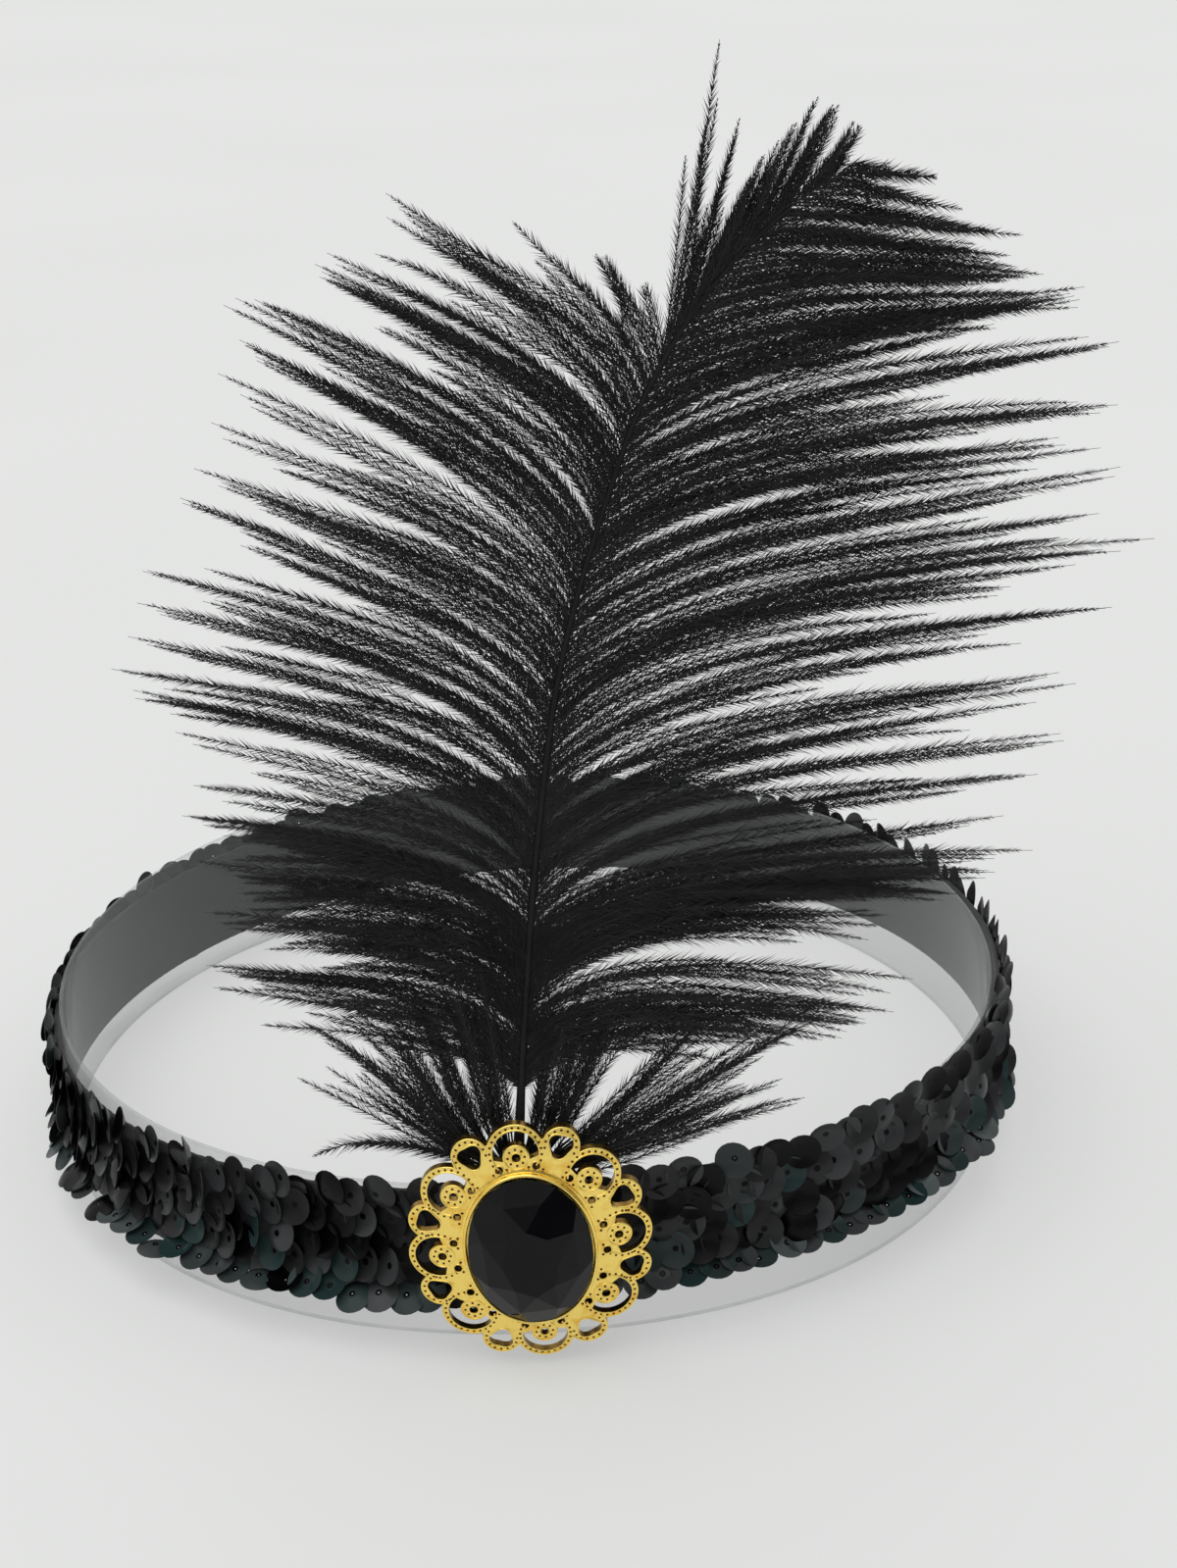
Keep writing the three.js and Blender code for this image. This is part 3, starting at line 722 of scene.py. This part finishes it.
def pits_on(centres, radius):
    """Small dimples painted dark brown as shade, each a low button of two rings and a cap."""
    sides = 8
    angle = 2 * np.pi * np.arange(sides) / sides
    flat = np.stack([np.cos(angle), np.sin(angle), np.zeros(sides)], -1)
    template = np.concatenate([flat * radius - (0, 0, 0.05), flat * radius * 0.8 + (0, 0, 0.03)])
    base = np.column_stack([centres, np.full(len(centres), PLATE)])
    points = (base[:, None] + template[None]).reshape(-1, 3)
    starts = np.arange(len(centres))[:, None, None] * len(template)
    caps = np.arange(sides, 2 * sides)[None, None] + starts
    return points, [(grid_faces(2, sides)[None] + starts).reshape(-1, 4), caps.reshape(-1, sides)]


def relief_parts():
    """The raised wires and the pits between them."""
    wires, pits = [], []
    rim = border_outline(16 * 24, inset=0.15)
    wires.append(wire_along(rim, 0.16, -0.02, close=True))
    for k in range(LOBE_PAIRS):
        centre, loop, outward = large_lobe(k)
        wide = 128 * DEGREE
        wires.append(wire_along(
            arc(centre, LARGE_LOBE - ARCH_RIM + 0.14, outward - wide, outward + wide, 40), 0.15, 0))
        pits.append(arc(centre, LARGE_LOBE - 0.54, outward - wide, outward + wide, 19))
        wires.append(wire_along(circle(loop, LOOP - 0.16, 26), 0.14, 0, close=True))
        wires.append(wire_along(circle(loop, LOOP_HOLE + 0.12, 16), 0.11, 0, close=True))
        pits.append(circle(loop, 1.26, 8))
        small = border_point(SMALL_LOBE_OUT, k + 0.5)
        wires.append(wire_along(teardrop(small, SMALL_LOBE - SMALL_RIM + 0.14, 32), 0.14, 0, True))
        wide = 108 * DEGREE
        turn = math.atan2(small[1], small[0])
        pits.append(arc(small, SMALL_LOBE - 0.56, turn - wide, turn + wide, 10))
        for step in (0.25, 0.75):
            stud = border_point(STUD_HOLE_OUT, k + step)
            wires.append(wire_along(circle(stud, STUD_HOLE + 0.12, 14), 0.11, 0, close=True))
            pits += [border_point((0.75, 0.6), k + step + 0.1 * side)[None] for side in (-1, 1)]
    return wires, np.concatenate(pits)


def bezel_parts():
    """The thin wall round the stone, rolled in a little over its edge."""
    profile = np.array([(BEZEL_WALL + 0.35, -0.05), (BEZEL_WALL + 0.3, 0.18), (BEZEL_WALL, 0.3),
                        (BEZEL_WALL, BEZEL_RISE - 0.3), (BEZEL_WALL - 0.12, BEZEL_RISE - 0.05),
                        (0.2, BEZEL_RISE), (0.0, BEZEL_RISE - 0.1), (-0.05, BEZEL_RISE - 0.3),
                        (0.05, 0.0), (0.3, -0.2)])
    angle = 2 * np.pi * np.arange(96)[:, None] / 96
    x = (SEAT_WIDTH + profile[None, :, 0]) * np.cos(angle)
    y = (SEAT_LENGTH + profile[None, :, 0]) * np.sin(angle)
    z = np.broadcast_to(PLATE + profile[None, :, 1], x.shape)
    return np.stack([x, y, z], -1).reshape(-1, 3), grid_faces(96, len(profile), True)


def make_brooch():
    # The wires and the bezel take a lighter copy of the plate's gold: painted light on the raised
    # parts.
    bright = gilt("gilt_painted_light", (1.0, 0.76, 0.2), (0.95, 0.62, 0.11))
    plain = gilt("gilt_plate", (1.0, 0.75, 0.19), (0.85, 0.52, 0.08))
    # The pits' dark brown gold is painted shade.
    hollow = gilt("gilt_pit_painted_shade", (0.12, 0.05, 0.012), (0.05, 0.02, 0.006))
    edge = gilt("gilt_side_painted_shade", (0.42, 0.25, 0.05), (0.2, 0.1, 0.02))
    plate = pierced_plate(plain)
    points = mesh_points(plate.data)
    points[:, 2] -= dome_back(points[:, 0], points[:, 1])
    place_points(plate, brooch_place(points))
    smooth(plate.data, 35 * DEGREE)
    # The plate's side faces take a brown copy of the gold, round its edge and in its piercings:
    # painted shade.
    plate.data.materials.append(edge)
    normals = np.empty(len(plate.data.polygons) * 3, np.float32)
    plate.data.polygons.foreach_get("normal", normals)
    sideways = np.abs(normals.reshape(-1, 3)[:, 1]) < 0.6
    plate.data.polygons.foreach_set("material_index", sideways.astype(np.int32))
    dress(plate, "gilt_metal", "brooch_filigree")

    wires, pits = relief_parts()
    wire_points, wire_faces = joined(wires)
    bezel_points, bezel_faces = bezel_parts()
    relief = (
        ("brooch_wires", wire_points, [wire_faces], bright),
        ("brooch_pits", *pits_on(pits, 0.24), hollow),
        ("brooch_bezel", bezel_points, [bezel_faces], bright),
    )
    for name, points, face_sets, material in relief:
        points = points - (0, 0, 1) * dome_back(points[:, 0], points[:, 1])[:, None]
        mesh = mesh_from(name, brooch_place(points), face_sets)
        item = new_object(name, mesh, material, 50 * DEGREE)
        dress(item, "gilt_metal", "brooch_filigree")


def make_stone():
    """The cut stone: two rows of facets up to the table, over an oval girdle."""
    grow = 1 / math.cos(math.pi / 16)
    rows = ((16, grow * 0.98, 0, 0.5), (16, grow, 0.2, 0.5), (8, 0.8, 0.64, 0.5), (8, 0.46, 1, 0))
    shape = bmesh.new()
    for sides, scale, rise, turn in rows:
        for i in range(sides):
            angle = 2 * math.pi * (i + turn) / sides
            x = scale * STONE_WIDTH / 2 * math.cos(angle)
            y = scale * STONE_LENGTH / 2 * math.sin(angle)
            shape.verts.new([x * MM, y * MM, (PLATE + SEAT_GAP + rise * STONE_RISE) * MM])
    bmesh.ops.convex_hull(shape, input=shape.verts)
    mesh = bpy.data.meshes.new("oval_stone_cut")
    shape.to_mesh(mesh)
    shape.free()
    stone = new_object("oval_stone_cut", mesh, black_stone())
    angle = 2 * np.pi * np.arange(72) / 72
    girdle = np.stack([STONE_WIDTH / 2 * np.cos(angle), STONE_LENGTH / 2 * np.sin(angle)], -1)
    combined(stone, [prism("girdle", girdle, 0, 4 * STONE_RISE)], "INTERSECT")
    place_points(stone, brooch_place(mesh_points(stone.data)))
    dress(stone, "black_stone", "oval_stone")


def make_pad():
    """A soft-edged felt oval with a channel for the quill."""
    rows = ((0.9, 0), (0.3, 0.18), (0.05, 0.6), (0, 1.2), (0, 2.2), (0.05, 2.8), (0.3, 3.22),
            (0.9, 3.4))
    sides = 96
    angle = 2 * np.pi * np.arange(sides) / sides
    width = SEAT_WIDTH + BEZEL_WALL - PAD_INSET
    length = SEAT_LENGTH + BEZEL_WALL - PAD_INSET
    random = np.random.default_rng(5)
    points = []
    for inset, depth in rows:
        fuzz = random.normal(0, 0.05, sides)
        points.append(np.stack([(width - inset + fuzz) * np.cos(angle),
                                np.full(sides, PAD_BACK - depth),
                                BROOCH_HEIGHT + (length - inset + fuzz) * np.sin(angle)], -1))
    caps = np.stack([np.arange(sides)[::-1], np.arange(sides) + (len(rows) - 1) * sides])
    mesh = mesh_from("felt_pad_soft", np.concatenate(points), [grid_faces(len(rows), sides), caps])
    pad = new_object("felt_pad_soft", mesh, black_felt())
    reach = QUILL_RADIUS + SEAT_GAP
    corners = np.array([(-1, -1), (1, -1), (1, 1), (-1, 1)]) * reach
    channel = prism("channel", corners, -30, 60)
    points = mesh_points(channel.data)
    points = np.column_stack([points[:, 0] + QUILL_SIDE, -points[:, 1] + QUILL_DEPTH,
                              points[:, 2] + BROOCH_HEIGHT])
    place_points(channel, points)
    combined(pad, [channel], "DIFFERENCE")
    smooth(pad.data, 45 * DEGREE)
    dress(pad, "black_felt", "felt_pad")


# The plume
def shaft_curve():
    """Points along the shaft at even steps: a centripetal Catmull-Rom curve through the table."""
    table = np.array(SHAFT_TABLE, float)
    rise, shift = table[:, 0], table[:, 1]
    knots = np.stack([QUILL_SIDE + PLUME_SHIFT * shift,
                      QUILL_DEPTH + PLUME_BOW * (1 - (1 - rise) ** 2),
                      PAD_TOP + PLUME_RISE * rise], -1)
    knots = np.concatenate([[2 * knots[0] - knots[1]], knots, [2 * knots[-1] - knots[-2]]])
    points = []
    for i in range(1, len(knots) - 2):
        p0, p1, p2, p3 = knots[i - 1: i + 3]
        d0, d1, d2 = (np.linalg.norm(b - a) ** 0.5 for a, b in ((p0, p1), (p1, p2), (p2, p3)))
        t1 = ((p1 - p0) / d0 - (p2 - p0) / (d0 + d1) + (p2 - p1) / d1) * d1
        t2 = ((p2 - p1) / d1 - (p3 - p1) / (d1 + d2) + (p3 - p2) / d2) * d1
        t = np.linspace(0, 1, 80, endpoint=False)[:, None]
        points.append(p1 + t1 * t + (-3 * p1 + 3 * p2 - 2 * t1 - t2) * t**2
                      + (2 * p1 - 2 * p2 + t1 + t2) * t**3)
    points = np.concatenate(points + [knots[-2:-1]])
    run = np.concatenate([[0], np.cumsum(np.linalg.norm(np.diff(points, axis=0), axis=1))])
    even = np.linspace(0, 1, 600)
    return np.stack([np.interp(even, run / run[-1], points[:, k]) for k in range(3)], -1), run[-1]


SHAFT, SHAFT_LENGTH = shaft_curve()
SHAFT_STEPS = np.linspace(0, 1, len(SHAFT))
SHAFT_SLOPE = np.gradient(SHAFT, axis=0)
SHAFT_ANGLE = np.unwrap(np.arctan2(SHAFT_SLOPE[:, 2], SHAFT_SLOPE[:, 0]))


def shaft_at(at):
    return np.stack([np.interp(at, SHAFT_STEPS, SHAFT[:, k]) for k in range(3)], -1)


def barb_curve(at, turn, reach, aim, bend, along):
    """Curves from the shaft that bend outwards, most of all near their roots.

    Each row is a barb and each column a step along it. The tip lies at the distance reach and at
    the angle aim from the shaft.
    """
    heading = bend * (1 - np.exp(-along / BEND_SHARE))
    middle = (heading[:, 1:] + heading[:, :-1]) / 2
    step = np.diff(along, axis=1)
    start = np.zeros((len(middle), 1))
    forward = np.concatenate([start, np.cumsum(step * np.cos(middle), 1)], 1)
    aside = np.concatenate([start, np.cumsum(step * np.sin(middle), 1)], 1)
    distance = np.hypot(forward, aside)
    bearing = np.arctan2(aside, forward)
    line = np.interp(at, SHAFT_STEPS, SHAFT_ANGLE) + turn * (aim + bearing - bearing[:, -1:])
    chord = reach * distance / distance[:, -1:]
    root = shaft_at(at)
    return np.stack([root[..., 0] + chord * np.cos(line),
                     root[..., 1] + VANE_SWEEP * reach * along**2,
                     root[..., 2] + chord * np.sin(line)], -1)


def outward_bend(aim):
    """How far a barb has to turn, in degrees, to leave the shaft at its usual angle."""
    return np.maximum((aim - ROOT_ANGLE) / (1 - BEND_SHARE), -6)


def vane_barbs(random, table, turn, first, last, pitch, lock, gather=0.92, stray=0.25,
               spread=1.2, shorter=0.6, depth=1.3, steps=22):
    """Barbs of one vane: evenly rooted, and drawn together into locks towards their tips.

    The stray ones are shorter and keep to themselves, which fills the vane near the shaft.
    """
    table = np.array(table, float)
    run = (last - first) * SHAFT_LENGTH
    locks = max(int(run / lock), 1)
    edges = np.linspace(first, last, locks + 1)
    edges[1:-1] += random.normal(0, 0.12, locks - 1) * (last - first) / locks
    count = int(run / pitch)
    root = np.linspace(first, last, count) + random.normal(0, 0.2, count) * pitch / SHAFT_LENGTH
    root = np.clip(root, first, last)
    home = np.clip(np.searchsorted(edges, root) - 1, 0, locks - 1)
    centre = (edges[home] + edges[home + 1]) / 2
    offset = np.abs(root - centre) / (centre - edges[home])
    centre = centre + random.normal(0, 0.1, count) * (last - first) / locks

    along = np.linspace(0, 1, steps)[None, :]
    start = random.uniform(0.08, 0.34, locks)[home][:, None]
    stop = random.uniform(0.62, 0.95, locks)[home][:, None]
    strays = random.random(count) < stray
    drawn = gather * smooth_step((along - start) / (stop - start)) * ~strays[:, None]
    at = root[:, None] + (centre - root)[:, None] * drawn
    reach = np.interp(at, table[:, 0], table[:, 1]) * LONGEST_BARB
    aim = np.interp(at, table[:, 0], table[:, 2])
    bend = outward_bend(np.interp(centre, table[:, 0], table[:, 2]))

    # The barbs in the middle of a lock are the longest, so the lock ends in a point.
    length = 1 - shorter * np.maximum(offset, 0.2) * random.random(count) ** 0.6
    length *= 1 + random.normal(0, 0.035, locks)[home]
    length = np.where(strays, random.uniform(0.4, 0.85, count), length)
    aim = aim + (random.normal(0, spread, locks)[home] + random.normal(0, spread * 0.2, count)
                 + strays * random.normal(0, 1.5 * spread, count))[:, None]
    bend = bend + (random.normal(0, 4, locks)[home] + random.normal(0, 1.5, count)
                   + strays * random.normal(0, 8, count))
    paths = barb_curve(at, turn, reach * length[:, None], aim * DEGREE, bend[:, None] * DEGREE,
                       along)

    back = random.normal(0, depth, locks)[home] + random.normal(0, depth * 0.5, count)
    paths[..., 1] += back[:, None] * along**1.4
    wave = random.uniform(0, 2 * np.pi, (2, locks, 1))[:, home]
    wave = wave + random.normal(0, 0.5, (2, count, 1))
    swing = 0.4 * along * (1 + along)
    paths[..., 1] += swing * np.sin(5 * along + wave[0])
    paths[..., 2] += swing * 0.8 * np.sin(4 * along + wave[1])
    return paths


def bezier(corners, steps, stop):
    """One barb along a cubic curve, up to its share stop."""
    t = np.linspace(0, stop, steps)[:, None]
    a, b, c, d = np.array(corners, float)
    return (a * (1 - t)**3 + 3 * b * t * (1 - t)**2 + 3 * c * t**2 * (1 - t) + d * t**3)[None]


def foot_barbs(random, clumps, each=9, spread=1.1):
    """Clumps of bare-footed barbs that fan out from behind the brooch."""
    paths = []
    for corners in clumps:
        for _ in range(each):
            scatter = random.normal(0, spread, (4, 3)) * FOOT_SCATTER
            paths.append(bezier((FOOT_ROOT, *corners) + scatter, 22, random.uniform(0.78, 1)))
    return np.concatenate(paths)


def barbules(random, path, spacing, length, start, stop, width):
    """Fine blades along both sides of one barb, each folded along its middle."""
    run = np.concatenate([[0], np.cumsum(np.linalg.norm(np.diff(path, axis=0), axis=1))])
    total = run[-1]
    count = max(int((stop - start) * total / spacing), 1)
    place = np.linspace(start * total, stop * total, count)
    place = np.concatenate([place, place + spacing / 2])
    place = place + random.uniform(-0.35, 0.35, len(place)) * spacing
    sides = np.repeat([1.0, -1.0], count)
    slope = np.gradient(path, run, axis=0)
    base = np.stack([np.interp(place, run, path[:, k]) for k in range(3)], -1)
    tangent = unit(np.stack([np.interp(place, run, slope[:, k]) for k in range(3)], -1))
    across = unit(np.cross(tangent, np.array([0, 1.0, 0])))
    out = np.cross(tangent, across)
    lean = random.normal(28, 5, len(place))[:, None] * DEGREE
    roll = random.normal(0, 26, len(place))[:, None] * DEGREE
    sideways = sides[:, None] * np.cos(roll) * across + np.sin(roll) * out
    direction = np.cos(lean) * tangent + np.sin(lean) * sideways
    profile = np.array(FLUFF_PROFILE)
    reach = length * np.interp(place / total, profile[:, 0], profile[:, 1])
    reach = reach * random.uniform(0.75, 1.15, len(place))
    edge = unit(np.cross(direction, out + 0.4 * random.normal(0, 1, (len(place), 1)) * across))
    ridge = np.cross(direction, edge)
    half = width / 2
    tip = base + reach[:, None] * direction
    points = np.stack([base - half * edge, base + half * ridge * 0.6, base + half * edge, tip], 1)
    blade = np.array([(0, 1, 3), (1, 2, 3)])
    starts = 4 * np.arange(len(place))[:, None, None]
    return points.reshape(-1, 3), (blade[None] + starts).reshape(-1, 3)


def make_fluff(name, groups, materials):
    """One piece of the plume: barbs as tapered stems, with their barbules."""
    stems, spikes = [], []
    for random, paths, options in groups:
        along = np.linspace(0, 1, paths.shape[1])[None, :]
        root, tip = options["stem"]
        stems.append(tubes(paths, root + (tip - root) * along**0.7, 3, np.array([0, 1.0, 0])))
        for path in paths:
            spikes.append(barbules(random, path, options["spacing"], options["length"],
                                   options["start"], options["stop"], options["width"]))
    stem_points, stem_faces = joined(stems)
    spike_points, spike_faces = joined(spikes)
    spike_faces = spike_faces + len(stem_points)
    mesh = mesh_from(name, np.concatenate([stem_points, spike_points]), [stem_faces, spike_faces])
    item = new_object(name, mesh, materials)
    index = np.concatenate([np.zeros(len(stem_faces)), np.ones(len(spike_faces))])
    mesh.polygons.foreach_set("material_index", index.astype(np.int32))
    smooth = np.concatenate([np.ones(len(stem_faces), bool), np.zeros(len(spike_faces), bool)])
    mesh.polygons.foreach_set("use_smooth", smooth)
    return dress(item, "black_feather", "ostrich_plume")


def make_shaft(material):
    """The quill, straight through the pad, and the shaft."""
    foot = np.array([[QUILL_SIDE, QUILL_DEPTH, z] for z in np.linspace(QUILL_FOOT, PAD_TOP, 8)])
    path = np.concatenate([foot[:-1], SHAFT[SHAFT_STEPS < SHAFT_SHOWN][::8]])
    above = (path[:, 2] - PAD_TOP) / PLUME_RISE
    radii = np.interp(above, (0, 0.08, 1), (QUILL_RADIUS, 0.62, SHAFT_END_RADIUS))
    points, faces = tubes(path[None], radii[None], 12, np.array([0, 1.0, 0]))
    ends = np.stack([np.arange(12)[::-1], np.arange(12) + len(points) - 12])
    mesh = mesh_from("plume_shaft", points, [faces, ends])
    item = new_object("plume_shaft", mesh, material, 50 * DEGREE)
    return dress(item, "black_feather", "ostrich_plume")


def make_plume():
    stem = black_feather("feather_stem", (0.006, 0.006, 0.007), (0.014, 0.013, 0.014), 0.42)
    fluff = black_feather("feather_fluff", (0.004, 0.004, 0.005), (0.01, 0.009, 0.01), 0.55)
    make_shaft(black_feather("feather_shaft", (0.003, 0.003, 0.0035), (0.006, 0.006, 0.007), 0.6,
                             shine=0.25))
    fine = {"stem": (0.16, 0.04), "spacing": 0.43, "length": 2.8, "start": 0.0, "stop": 0.97,
            "width": 0.16}
    dense = {**fine, "spacing": 0.38, "length": 3.0}
    short = {**fine, "length": 2.2, "stop": 0.98}
    bare_foot = {**fine, "stem": (0.3, 0.05), "start": 0.26, "length": 2.7}
    lone = {**fine, "stem": (0.22, 0.06), "start": 0.25, "length": 3.4, "width": 0.2}

    def barbs(seed, *arguments, **options):
        random = np.random.default_rng(seed)
        return random, vane_barbs(random, *arguments, **options)

    def foot(seed, *arguments, **options):
        random = np.random.default_rng(seed)
        return random, foot_barbs(random, *arguments, **options)

    low = {"gather": 0.66, "stray": 0.42, "spread": 2.2, "depth": 2.8}
    pieces = {
        "plume_left": [(*barbs(11, LEFT_BARBS, 1, 0.18, 0.745, 0.5, 3.6), fine)],
        "plume_right": [(*barbs(12, RIGHT_BARBS, -1, 0.17, 0.58, 0.52, 3.8), fine)],
        "plume_crest": [(*barbs(3, RIGHT_BARBS, -1, 0.57, 0.97, 0.52, 3.4), fine),
                        (*barbs(4, CREST_BARBS, 1, 0.745, 0.95, 0.45, 3.0), short)],
        "plume_low_left": [(*barbs(5, LEFT_BARBS, 1, 0.07, 0.22, 0.27, 3.8, **low), dense)],
        "plume_low_right": [(*barbs(6, RIGHT_BARBS, -1, 0.07, 0.22, 0.28, 3.8, **low), dense)],
        "plume_foot": [(*foot(7, LEFT_FOOT), bare_foot),
                       (*foot(8, RIGHT_FOOT), bare_foot),
                       (*foot(9, [LONE_BARB], each=3, spread=0.2), lone)],
    }
    for name, groups in pieces.items():
        make_fluff(name, groups, [stem, fluff])


# The stage
def put(item, right, back, place=(0, 0, 0)):
    """Adds a camera or light that faces away from the direction back."""
    pose = np.eye(4)
    pose[:3, :3] = np.stack([right, np.cross(back, right), back], -1)
    pose[:3, 3] = place
    item.matrix_world = [list(row) for row in pose.T]
    bpy.context.scene.collection.objects.link(item)


def add_camera():
    data = bpy.data.cameras.new("camera")
    data.sensor_width = SENSOR
    data.lens = SENSOR * FOCAL_PIXELS / max(IMAGE_SIZE)
    data.clip_start, data.clip_end = 0.01, 50
    camera = bpy.data.objects.new("camera", data)
    right = unit(np.array(CAMERA_RIGHT))
    put(camera, right, unit(np.cross(right, CAMERA_UP)), np.array(CAMERA_PLACE) * MM)
    bpy.context.scene.camera = camera


def add_floor():
    finish = Finish("pale_floor", Roughness=0.8, Specular_IOR_Level=0.0,
                    Emission_Color=(0.99, 1.0, 0.99, 1), Emission_Strength=FLOOR_GLOW)
    finish.drive("Base Color", finish.ramp(
        finish.noise(400, detail=1), (0.35, (0.4, 0.406, 0.4)), (0.65, (0.415, 0.421, 0.415))))
    size = 12000
    corners = np.array([(-1, -1, 0), (1, -1, 0), (1, 1, 0), (-1, 1, 0)], float) * size
    corners[:, 2] = -0.05
    mesh = mesh_from("floor", corners, [np.array([[0, 1, 2, 3]])])
    new_object("floor", mesh, finish.material)


def add_softbox():
    """A wide, distant light."""
    data = bpy.data.lights.new("softbox", "SUN")
    data.angle = SUN_SPREAD
    data.energy = SUN_STRENGTH
    back = unit(np.array(SUN_SIDE, float))
    right = unit(np.cross([0, 1.0, 0], back))
    put(bpy.data.objects.new("softbox", data), right, back)


def add_world():
    """A pale studio: bright above, dark low down in front, and plain where the camera sees it."""
    world = bpy.data.worlds.new("studio")
    world.use_nodes = True
    tree = world.node_tree
    shine = tree.nodes["Background"]
    seen = tree.nodes.new("ShaderNodeBackground")
    seen.inputs["Color"].default_value = SEEN_BACKGROUND
    place = tree.nodes.new("ShaderNodeTexCoord")
    towards = tree.nodes.new("ShaderNodeVectorMath")
    towards.operation = "DOT_PRODUCT"
    towards.inputs[1].default_value = WORLD_BRIGHT_SIDE
    tree.links.new(place.outputs["Generated"], towards.inputs[0])
    grey = tree.nodes.new("ShaderNodeMapRange")
    grey.interpolation_type = "SMOOTHSTEP"
    for socket, value in zip(RANGE_SOCKETS, (-0.15, 0.6, 0.02, 1)):
        grey.inputs[socket].default_value = value
    tree.links.new(towards.outputs["Value"], grey.inputs["Value"])
    tree.links.new(grey.outputs["Result"], shine.inputs["Color"])
    shine.inputs["Strength"].default_value = WORLD_STRENGTH
    path = tree.nodes.new("ShaderNodeLightPath")
    mixer = tree.nodes.new("ShaderNodeMixShader")
    tree.links.new(path.outputs["Is Camera Ray"], mixer.inputs["Fac"])
    tree.links.new(shine.outputs[0], mixer.inputs[1])
    tree.links.new(seen.outputs[0], mixer.inputs[2])
    tree.links.new(mixer.outputs[0], tree.nodes["World Output"].inputs["Surface"])
    bpy.context.scene.world = world


add_camera()
add_floor()
add_world()
add_softbox()
bpy.context.scene.view_settings.view_transform = "Standard"
make_hoop()
make_band()
sequin_finish = black_sequin()
for course in range(COURSE_COUNT):
    make_sequins(course, sequin_finish)
make_brooch()
make_stone()
make_pad()
make_plume()
